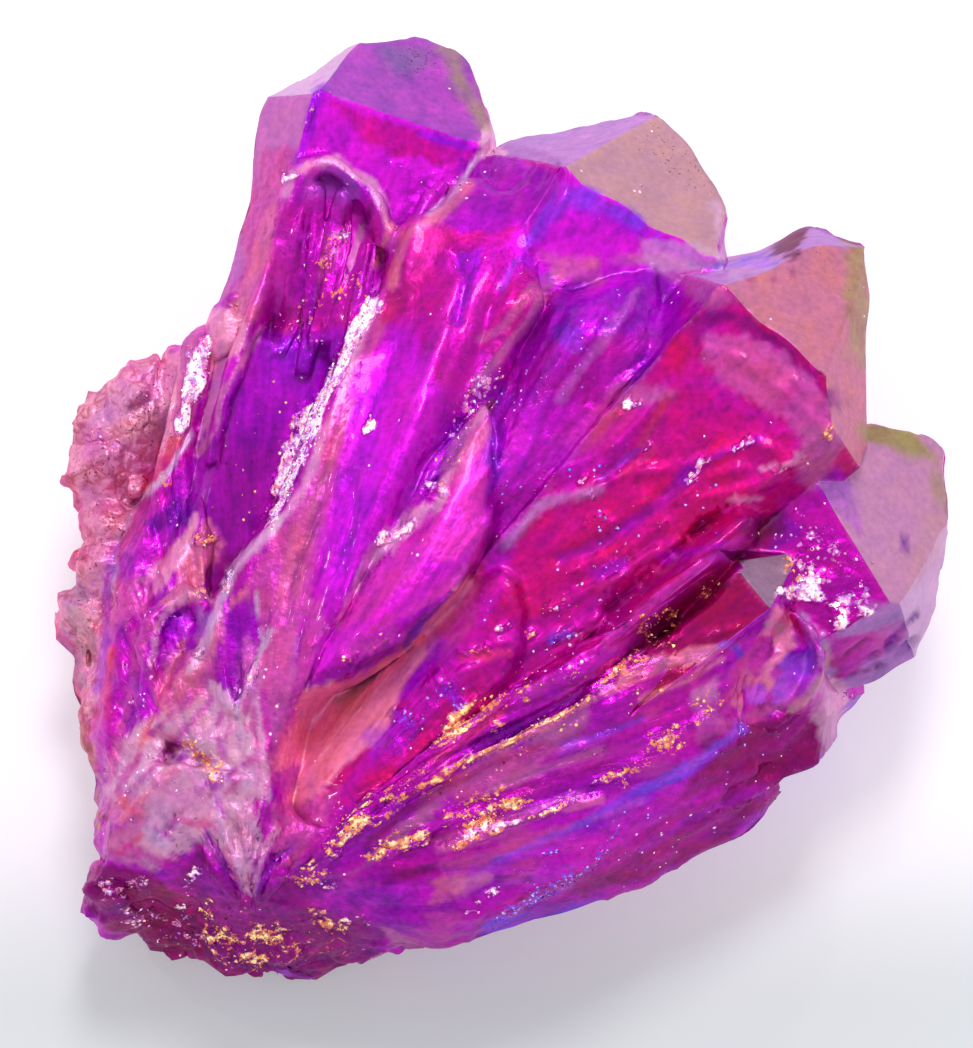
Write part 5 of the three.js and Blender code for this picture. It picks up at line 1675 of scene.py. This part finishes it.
# %% Grain colours
# a grain takes the coat it sits on, lighter or darker, and painted glints go to grains where they lie
# thickest
first_corner = chosen[in_box] * 3
host = paint[first_corner][:, :3]
grain_warmth = warmth[corner_point[first_corner]] + rng.normal(0, 0.16, kept)
dense = sparkle[corner_point[first_corner]]
glinting = rng.uniform(size=kept) ** (3 - 2.6 * between(0.4, 1, dense))
host = np.clip(host * rng.uniform(0.5, 1.4, kept)[:, None] + rng.uniform(0, 0.1, kept)[:, None], 0, 1)
grain_coat = np.column_stack([host, np.ones(kept)])
grain_finish = np.stack([glinting, grain_warmth, np.zeros(kept), np.ones(kept)], axis=1)
keep(druse_mesh, "coat", "POINT", np.repeat(grain_coat, len(grain_points), axis=0))
keep(druse_mesh, "finish", "POINT", np.repeat(grain_finish, len(grain_points), axis=0))
print("lit grains:", int((glinting > 0.5).sum()))

# %% [markdown]
# ## Shader
#
# Shader maths is easier to read as sums, so one small class wraps a socket and lets it be added and
# multiplied. Each expression adds the nodes it needs. Any other node comes from one method, which takes its
# kind, its settings, and the values or links of its sockets.

# %% Wires
class Wire:
    """One output of a node, with arithmetic."""

    def __init__(self, board, socket):
        self.board = board
        self.socket = socket

    def other(self, output):
        """Another output of the same node."""
        return Wire(self.board, self.socket.node.outputs[output])

    def maths(self, operation, first, second):
        return self.board.node("Math", {"operation": operation}, {0: first, 1: second})

    def __add__(self, other):
        return self.maths("ADD", self, other)

    def __sub__(self, other):
        return self.maths("SUBTRACT", self, other)

    def __mul__(self, other):
        return self.maths("MULTIPLY", self, other)

    def __rsub__(self, other):
        return self.maths("SUBTRACT", other, self)

    def __gt__(self, other):
        return self.maths("GREATER_THAN", self, other)

    def larger(self, other):
        return self.maths("MAXIMUM", self, other)

    __radd__ = __add__
    __rmul__ = __mul__


# %% A board of nodes
class Board:
    """The node tree of one material."""

    def __init__(self, name):
        self.material = bpy.data.materials.new(name)
        self.material.use_nodes = True
        self.tree = self.material.node_tree
        self.shader = self.tree.nodes["Principled BSDF"]

    def node(self, kind, settings=None, inputs=None, output=0):
        """Adds a node: its settings first, then the values or links of its sockets."""
        made = self.tree.nodes.new("ShaderNode" + kind)
        for name, setting in (settings or {}).items():
            if name == "stops":
                self.set_stops(made.color_ramp, setting)
            else:
                setattr(made, name, setting)
        for name, value in (inputs or {}).items():
            self.feed(made.inputs[name], value)
        return Wire(self, made.outputs[output])

    def feed(self, socket, value):
        if isinstance(value, Wire):
            self.tree.links.new(value.socket, socket)
        else:
            socket.default_value = value

    def set_stops(self, ramp, stops):
        while len(ramp.elements) < len(stops):
            ramp.elements.new(1)
        for element, (position, colour) in zip(ramp.elements, stops):
            element.position = position
            element.color = colour

    def mix(self, factor, first, second, blend="MIX"):
        settings = {"data_type": "RGBA", "blend_type": blend}
        return self.node("Mix", settings, {0: factor, 6: first, 7: second}, output=2)

    def rise(self, low, high, value):
        """0 below low, 1 above high, smooth between."""
        return self.node("MapRange", {"interpolation_type": "SMOOTHSTEP"}, {"Value": value, 1: low, 2: high})

    def vectors(self, operation, **inputs):
        """A Vector Math node. Its sockets are named first, second and scale."""
        sockets = {"first": 0, "second": 1, "scale": "Scale"}
        inputs = {sockets[name]: value for name, value in inputs.items()}
        return self.node("VectorMath", {"operation": operation}, inputs)

    def stored(self, name, output="Color"):
        """An attribute of the mesh."""
        return self.node("Attribute", {"attribute_name": name}, output=output)

    def parts(self, colour):
        """The red of a colour, with green and blue as its other outputs."""
        return self.node("SeparateColor", inputs={0: colour}, output="Red")

    def surface(self, **feeds):
        for name, value in feeds.items():
            self.feed(self.shader.inputs[name.replace("_", " ")], value)


# %% [markdown]
# ## The coat
#
# The coat is a metal-like film over glassy quartz. So it is partly metallic with a clear coat, its base
# colour comes from the paint, and fine streaks along the flow, dark specks and grain break it up at sizes
# that the mesh can't hold. Where it sparkles, small cells each lean their own way, and some of them carry
# painted glints: a bright tint in the base colour and a glow.

# %% Colours of the painted glints
# at 0 blue, at 0.5 white, at 1 gold: the painted bright middle of a glint, then its rim
GLINT_CORE_STOPS = [
    (0.0, srgb(190, 190, 255)), (0.25, srgb(222, 216, 255)), (0.5, srgb(255, 248, 255)),
    (0.72, srgb(255, 242, 218)), (1.0, srgb(255, 232, 156)),
]
GLINT_RIM_STOPS = [
    (0.0, srgb(116, 60, 240)), (0.25, srgb(170, 90, 240)), (0.5, srgb(236, 140, 222)),
    (0.72, srgb(246, 150, 130)), (1.0, srgb(246, 138, 70)),
]
NO_GLOW = (0, 0, 0, 1)


def painted_glint_tints(board, heat):
    """The painted glint colours of a spangle's middle and rim."""
    core = board.node("ValToRGB", {"stops": GLINT_CORE_STOPS}, {0: heat}, output="Color")
    edge = board.node("ValToRGB", {"stops": GLINT_RIM_STOPS}, {0: heat}, output="Color")
    return core, edge


# %% Textures of the coat
# sizes in mm, and how much longer than wide the streaks are
FINE_GRAIN = 0.7
STREAK = 0.9
STREAK_LENGTH = 6
MOLTEN = 1.5
MOLTEN_LENGTH = 2.6
ROOT_GRAIN = 1.4
CLOUD = 4
SPECK = 0.3
STREAKS_FROM = 8
STREAKS_FULL = 24


def per_mm(size):
    """The texture scale whose features measure size millimetres."""
    return 1 / (size * MM)


def textures(board):
    """Every texture that the coat uses, and the place that they read."""
    place = board.node("TexCoord", output="Object")
    along = board.stored("flow", "Vector")

    def everywhere(size, detail):
        return board.node("TexNoise", inputs={"Vector": place, "Scale": per_mm(size), "Detail": detail})

    def along_flow(size, length, detail, roughness):
        scale = (1 / size, 1 / (size * length), 1 / (size * 2))
        inputs = {"Vector": board.node("Mapping", inputs={"Vector": along, "Scale": scale}), "Scale": 1}
        inputs.update({"Detail": detail, "Roughness": roughness, "Distortion": 0.4})
        return board.node("TexNoise", inputs=inputs)

    from_root = board.node("SeparateXYZ", inputs={0: along}, output="Y")
    streaky = board.rise(STREAKS_FROM, STREAKS_FULL, from_root)
    streaks = along_flow(STREAK, STREAK_LENGTH, 4, 0.6)
    molten = along_flow(MOLTEN, MOLTEN_LENGTH, 5, 0.68)
    return SimpleNamespace(
        place=place,
        fine=everywhere(FINE_GRAIN, 4),
        streaks=streaks * streaky + everywhere(ROOT_GRAIN, 4) * (1 - streaky),
        molten=molten * streaky + everywhere(ROOT_GRAIN, 5) * (1 - streaky),
        cloud=everywhere(CLOUD, 4),
        speck=everywhere(SPECK, 1),
    )


# %% Colour of the coat
# slow drifts of hue, quicker ones of lightness, and dark specks
SPECK_COLOUR = srgb(84, 20, 70)
MID = 0.5
HUE_DRIFT = 0.12
HUE_STREAK = 0.08
EVEN_LIGHT = 0.98


def varied_coat(board, t, paint, milk, speckle):
    """The painted colour with its small changes, and the specks on it."""
    hue = t.cloud * HUE_DRIFT + t.streaks * HUE_STREAK + (MID - MID * (HUE_DRIFT + HUE_STREAK))
    shifted = board.node("HueSaturation", inputs={"Hue": hue, "Color": paint})
    unevenness = t.streaks - MID + (t.fine - MID) + (t.cloud - MID) * 0.4
    light = EVEN_LIGHT + unevenness * (1 - milk * 0.9)
    light = board.node("CombineColor", inputs={0: light, 1: light, 2: light})
    varied = board.mix(1.0, shifted, light, "MULTIPLY")
    specks = board.rise(0, 0.06, t.speck + speckle * (t.cloud * 0.3 - 0.06) - 0.72)
    specks = specks * (milk * 0.3 + speckle * 0.6 + 0.1)
    return board.mix(specks, varied, SPECK_COLOUR), specks


# %% Bubbles of the crust
# pale in the middle, dark red where they meet
BUBBLE = 1.3
SEAM = (0.16, 0.02)
SEAM_COLOUR = srgb(170, 30, 80)


def bubbled(board, t, colour, crusty):
    """The colour with the seams between bubbles, and how far from a seam each place lies."""
    cells = {"Vector": t.place, "Scale": per_mm(BUBBLE)}
    from_seam = board.node("TexVoronoi", {"feature": "DISTANCE_TO_EDGE"}, cells, output="Distance")
    seam = board.rise(*SEAM, from_seam + (t.fine - MID) * 0.2) * crusty
    return board.mix(seam * board.rise(0.45, 0.6, t.cloud) * 0.5, colour, SEAM_COLOUR), from_seam


# %% Spangles and their painted glints
# single dots where it sparkles little, patches that grow together where it sparkles much
SPANGLE = 0.6
# where each thing starts and where it is full
DOT = (0.4, 0.22)
DOT_MIDDLE = (0.3, 0.12)
PATCH = (0.36, 0.44)
PATCH_MIDDLE = (0.5, 0.8)
PATCHES_FROM = (0.1, 0.3)
CRACK = (0.02, 0.09)
DENSE = (0.5, 0.9)
COOL = (0.4, 0.1)
MOLTEN_AWAY = (0.56, 0.44)


def spangles(board, t, sparkle, warmth):
    """The spangles' shape, their painted bright middles and glint tint, and a way to lean for each."""
    cells = {"Vector": t.place, "Scale": per_mm(SPANGLE)}
    cell = board.node("TexVoronoi", inputs=cells, output="Color")
    chance_of = board.parts(cell)
    gap = cell.other("Distance")
    crack = board.node("TexVoronoi", {"feature": "DISTANCE_TO_EDGE"}, cells, output="Distance")
    taken = chance_of - board.rise(*MOLTEN_AWAY, t.molten) * 0.5 > 0.98 - sparkle * 0.9
    edge = gap + (t.fine - MID) * 0.5 + chance_of.other("Blue") * 0.14 - sparkle * 0.16
    dot = board.rise(*DOT, edge) * taken
    amount = sparkle - 0.25 + (t.molten - MID) * 1.9 + (t.fine - MID) * 0.8 + (chance_of - MID) * 0.4
    amount = amount - board.rise(*COOL, warmth) * 0.25
    patch = board.rise(*PATCH, amount) * board.rise(*CRACK, crack + board.rise(*DENSE, sparkle) * 0.08)
    shape = dot.larger(patch * board.rise(*PATCHES_FROM, sparkle))
    middle = (board.rise(*DOT_MIDDLE, gap) * dot).larger(board.rise(*PATCH_MIDDLE, amount))
    core, edge = painted_glint_tints(board, warmth + chance_of.other("Green") * 0.3 - 0.15)
    lean = board.vectors("SUBTRACT", first=cell, second=(MID, MID, MID))
    lean = board.vectors("SCALE", first=lean, scale=shape * (0.8 - sparkle * 0.6))
    return shape, middle, board.mix(middle, edge, core), lean


# %% Coat material
CRUSTY = (1.1, 1.8)
LUMPY = (0.05, 0.6)
BUBBLE_RISE = 0.4


def coat_material():
    board = Board("coated_quartz")
    t = textures(board)
    paint = board.stored("coat")
    finish = board.stored("finish")
    sparkle = board.parts(finish)
    warmth = sparkle.other("Green")
    milk = sparkle.other("Blue")
    crusty = board.rise(*CRUSTY, finish.other("Alpha"))
    crumple = board.rise(0, 1, finish.other("Alpha"))

    colour, specks = varied_coat(board, t, paint, milk, paint.other("Alpha"))
    colour, from_seam = bubbled(board, t, colour, crusty)
    shape, middle, tint, lean = spangles(board, t, sparkle, warmth)

    normal = board.node("NewGeometry", output="Normal")
    leaned = board.vectors("NORMALIZE", first=board.vectors("ADD", first=normal, second=lean))
    lumpy = board.rise(*LUMPY, sparkle)
    bump = t.streaks * (crumple * 0.12 + 0.01) + t.fine * (crumple * 0.12 + 0.006) + t.molten * lumpy * 0.3
    bump = bump - specks * 0.05 + board.rise(0, BUBBLE_RISE, from_seam) * crusty * 0.16
    bumped = board.node("Bump", inputs={"Strength": 1, "Distance": MM, "Height": bump, "Normal": leaned})

    # the spangles' tint in the base colour and their glow are painted glints
    board.surface(
        Base_Color=board.mix(shape * 0.9, colour, tint),
        Metallic=0.7 - milk * 0.5 - shape * 0.3,
        Roughness=0.56 - t.fine * crumple * 0.3 - lumpy * 0.15,
        Coat_Weight=0.1 + t.cloud * 0.2,
        Normal=bumped,
        Emission_Color=board.mix(shape * (middle * 0.7 + 0.3), NO_GLOW, tint),
        Emission_Strength=0.4,
        Coat_Roughness=0.08,
        IOR=1.5,
        Specular_IOR_Level=0.3,
        Specular_Tint=(1.0, 0.45, 0.95, 1.0),
    )
    print("coat:", len(board.tree.nodes), "nodes")
    return board.material


cluster_mesh.materials.append(coat_material())
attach(cluster, "root")
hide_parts("quartz_cluster")

# %% [markdown]
# ## The coat of the grains
#
# A grain is too small for texture. It is the coat's own colour or, where it has a painted glint, the glowing
# tint of a spangle.

# %% Grain material
# a grain takes a painted glint, tint and glow, as its share rises
GLINT_FROM = (0.3, 0.6)
BRIGHT_FROM = (0.6, 0.9)


def grain_material():
    board = Board("coated_druse")
    paint = board.stored("coat")
    strength = board.parts(board.stored("finish"))
    core, edge = painted_glint_tints(board, strength.other("Green"))
    glint_share = board.rise(*GLINT_FROM, strength)
    tint = board.mix(board.rise(*BRIGHT_FROM, strength), edge, core)
    board.surface(
        Base_Color=board.mix(glint_share, paint, tint),
        Emission_Color=board.mix(glint_share, NO_GLOW, tint),
        Emission_Strength=0.3,
        Metallic=0.7,
        Roughness=0.2,
        Coat_Weight=0.3,
    )
    print("grain coat:", len(board.tree.nodes), "nodes")
    return board.material


druse_mesh.materials.append(grain_material())
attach(druse, "root")

# %% [markdown]
# ## Floor and light
#
# The stone lies on a pale floor under soft studio light. The floor is painted greyer towards the front as
# shade, and glows a little to lift its shadows. A pale sky fills every shadow, one wide light overhead gives
# the soft glow, and small bright lights behind give the sharp glints.

# %% Floor
FLOOR_RADIUS = 3
# the floor is painted greyer towards the front as shade, and its glow lifts its shadows
FLOOR_SHADE_FADE = (-0.05, -0.022)
SHADED_FRONT_OF_FLOOR = ((0.5, 0.52, 0.53, 1), (0.66, 0.69, 0.7, 1))
BACK_OF_FLOOR = ((0.75, 0.72, 0.76, 1), (1, 0.97, 1, 1))

floor_data = bpy.data.meshes.new("floor")
floor_shape = bmesh.new()
bmesh.ops.create_circle(floor_shape, cap_ends=True, segments=64, radius=FLOOR_RADIUS)
floor_shape.to_mesh(floor_data)
floor_shape.free()
floor = show("floor", floor_data)
floor_board = Board("floor")
floor_place = floor_board.node("TexCoord", output="Object")
away = floor_board.node("SeparateXYZ", inputs={0: floor_place}, output="Y")
pale = floor_board.rise(*FLOOR_SHADE_FADE, away)
floor_board.surface(
    Base_Color=floor_board.mix(pale, SHADED_FRONT_OF_FLOOR[0], BACK_OF_FLOOR[0]),
    Roughness=0.8,
    Emission_Color=floor_board.mix(pale, SHADED_FRONT_OF_FLOOR[1], BACK_OF_FLOOR[1]),
    Emission_Strength=0.38,
)
floor_data.materials.append(floor_board.material)
print("floor:", 2 * FLOOR_RADIUS, "m across")

# %% Light
SKY_COLOUR = (0.97, 0.96, 1, 1)
SKY_STRENGTH = 0.66

world = bpy.data.worlds.new("world")
bpy.context.scene.world = world
world.use_nodes = True
sky = world.node_tree.nodes["Background"].inputs
sky["Color"].default_value = SKY_COLOUR
sky["Strength"].default_value = SKY_STRENGTH
bpy.context.scene.view_settings.view_transform = "Standard"


def disk_light(name, place, width, power):
    """A round light that faces the stone: its place and width in metres, its power in watts."""
    data = bpy.data.lights.new(name, "AREA")
    data.shape = "DISK"
    data.size = width
    data.energy = power
    light = show(name, data)
    light.location = place
    light.rotation_mode = "QUATERNION"
    light.rotation_quaternion = (Vector(place) - LOOK_AT).to_track_quat("Z", "Y")


disk_light("overhead", (0.1, 0.8, 1.5), 0.5, 12)
disk_light("window", (-0.7, 0.3, 0.55), 0.04, 0.5)
disk_light("back", (0.3, 0.8, 0.5), 0.04, 0.5)
print("lights:", len(bpy.data.lights))
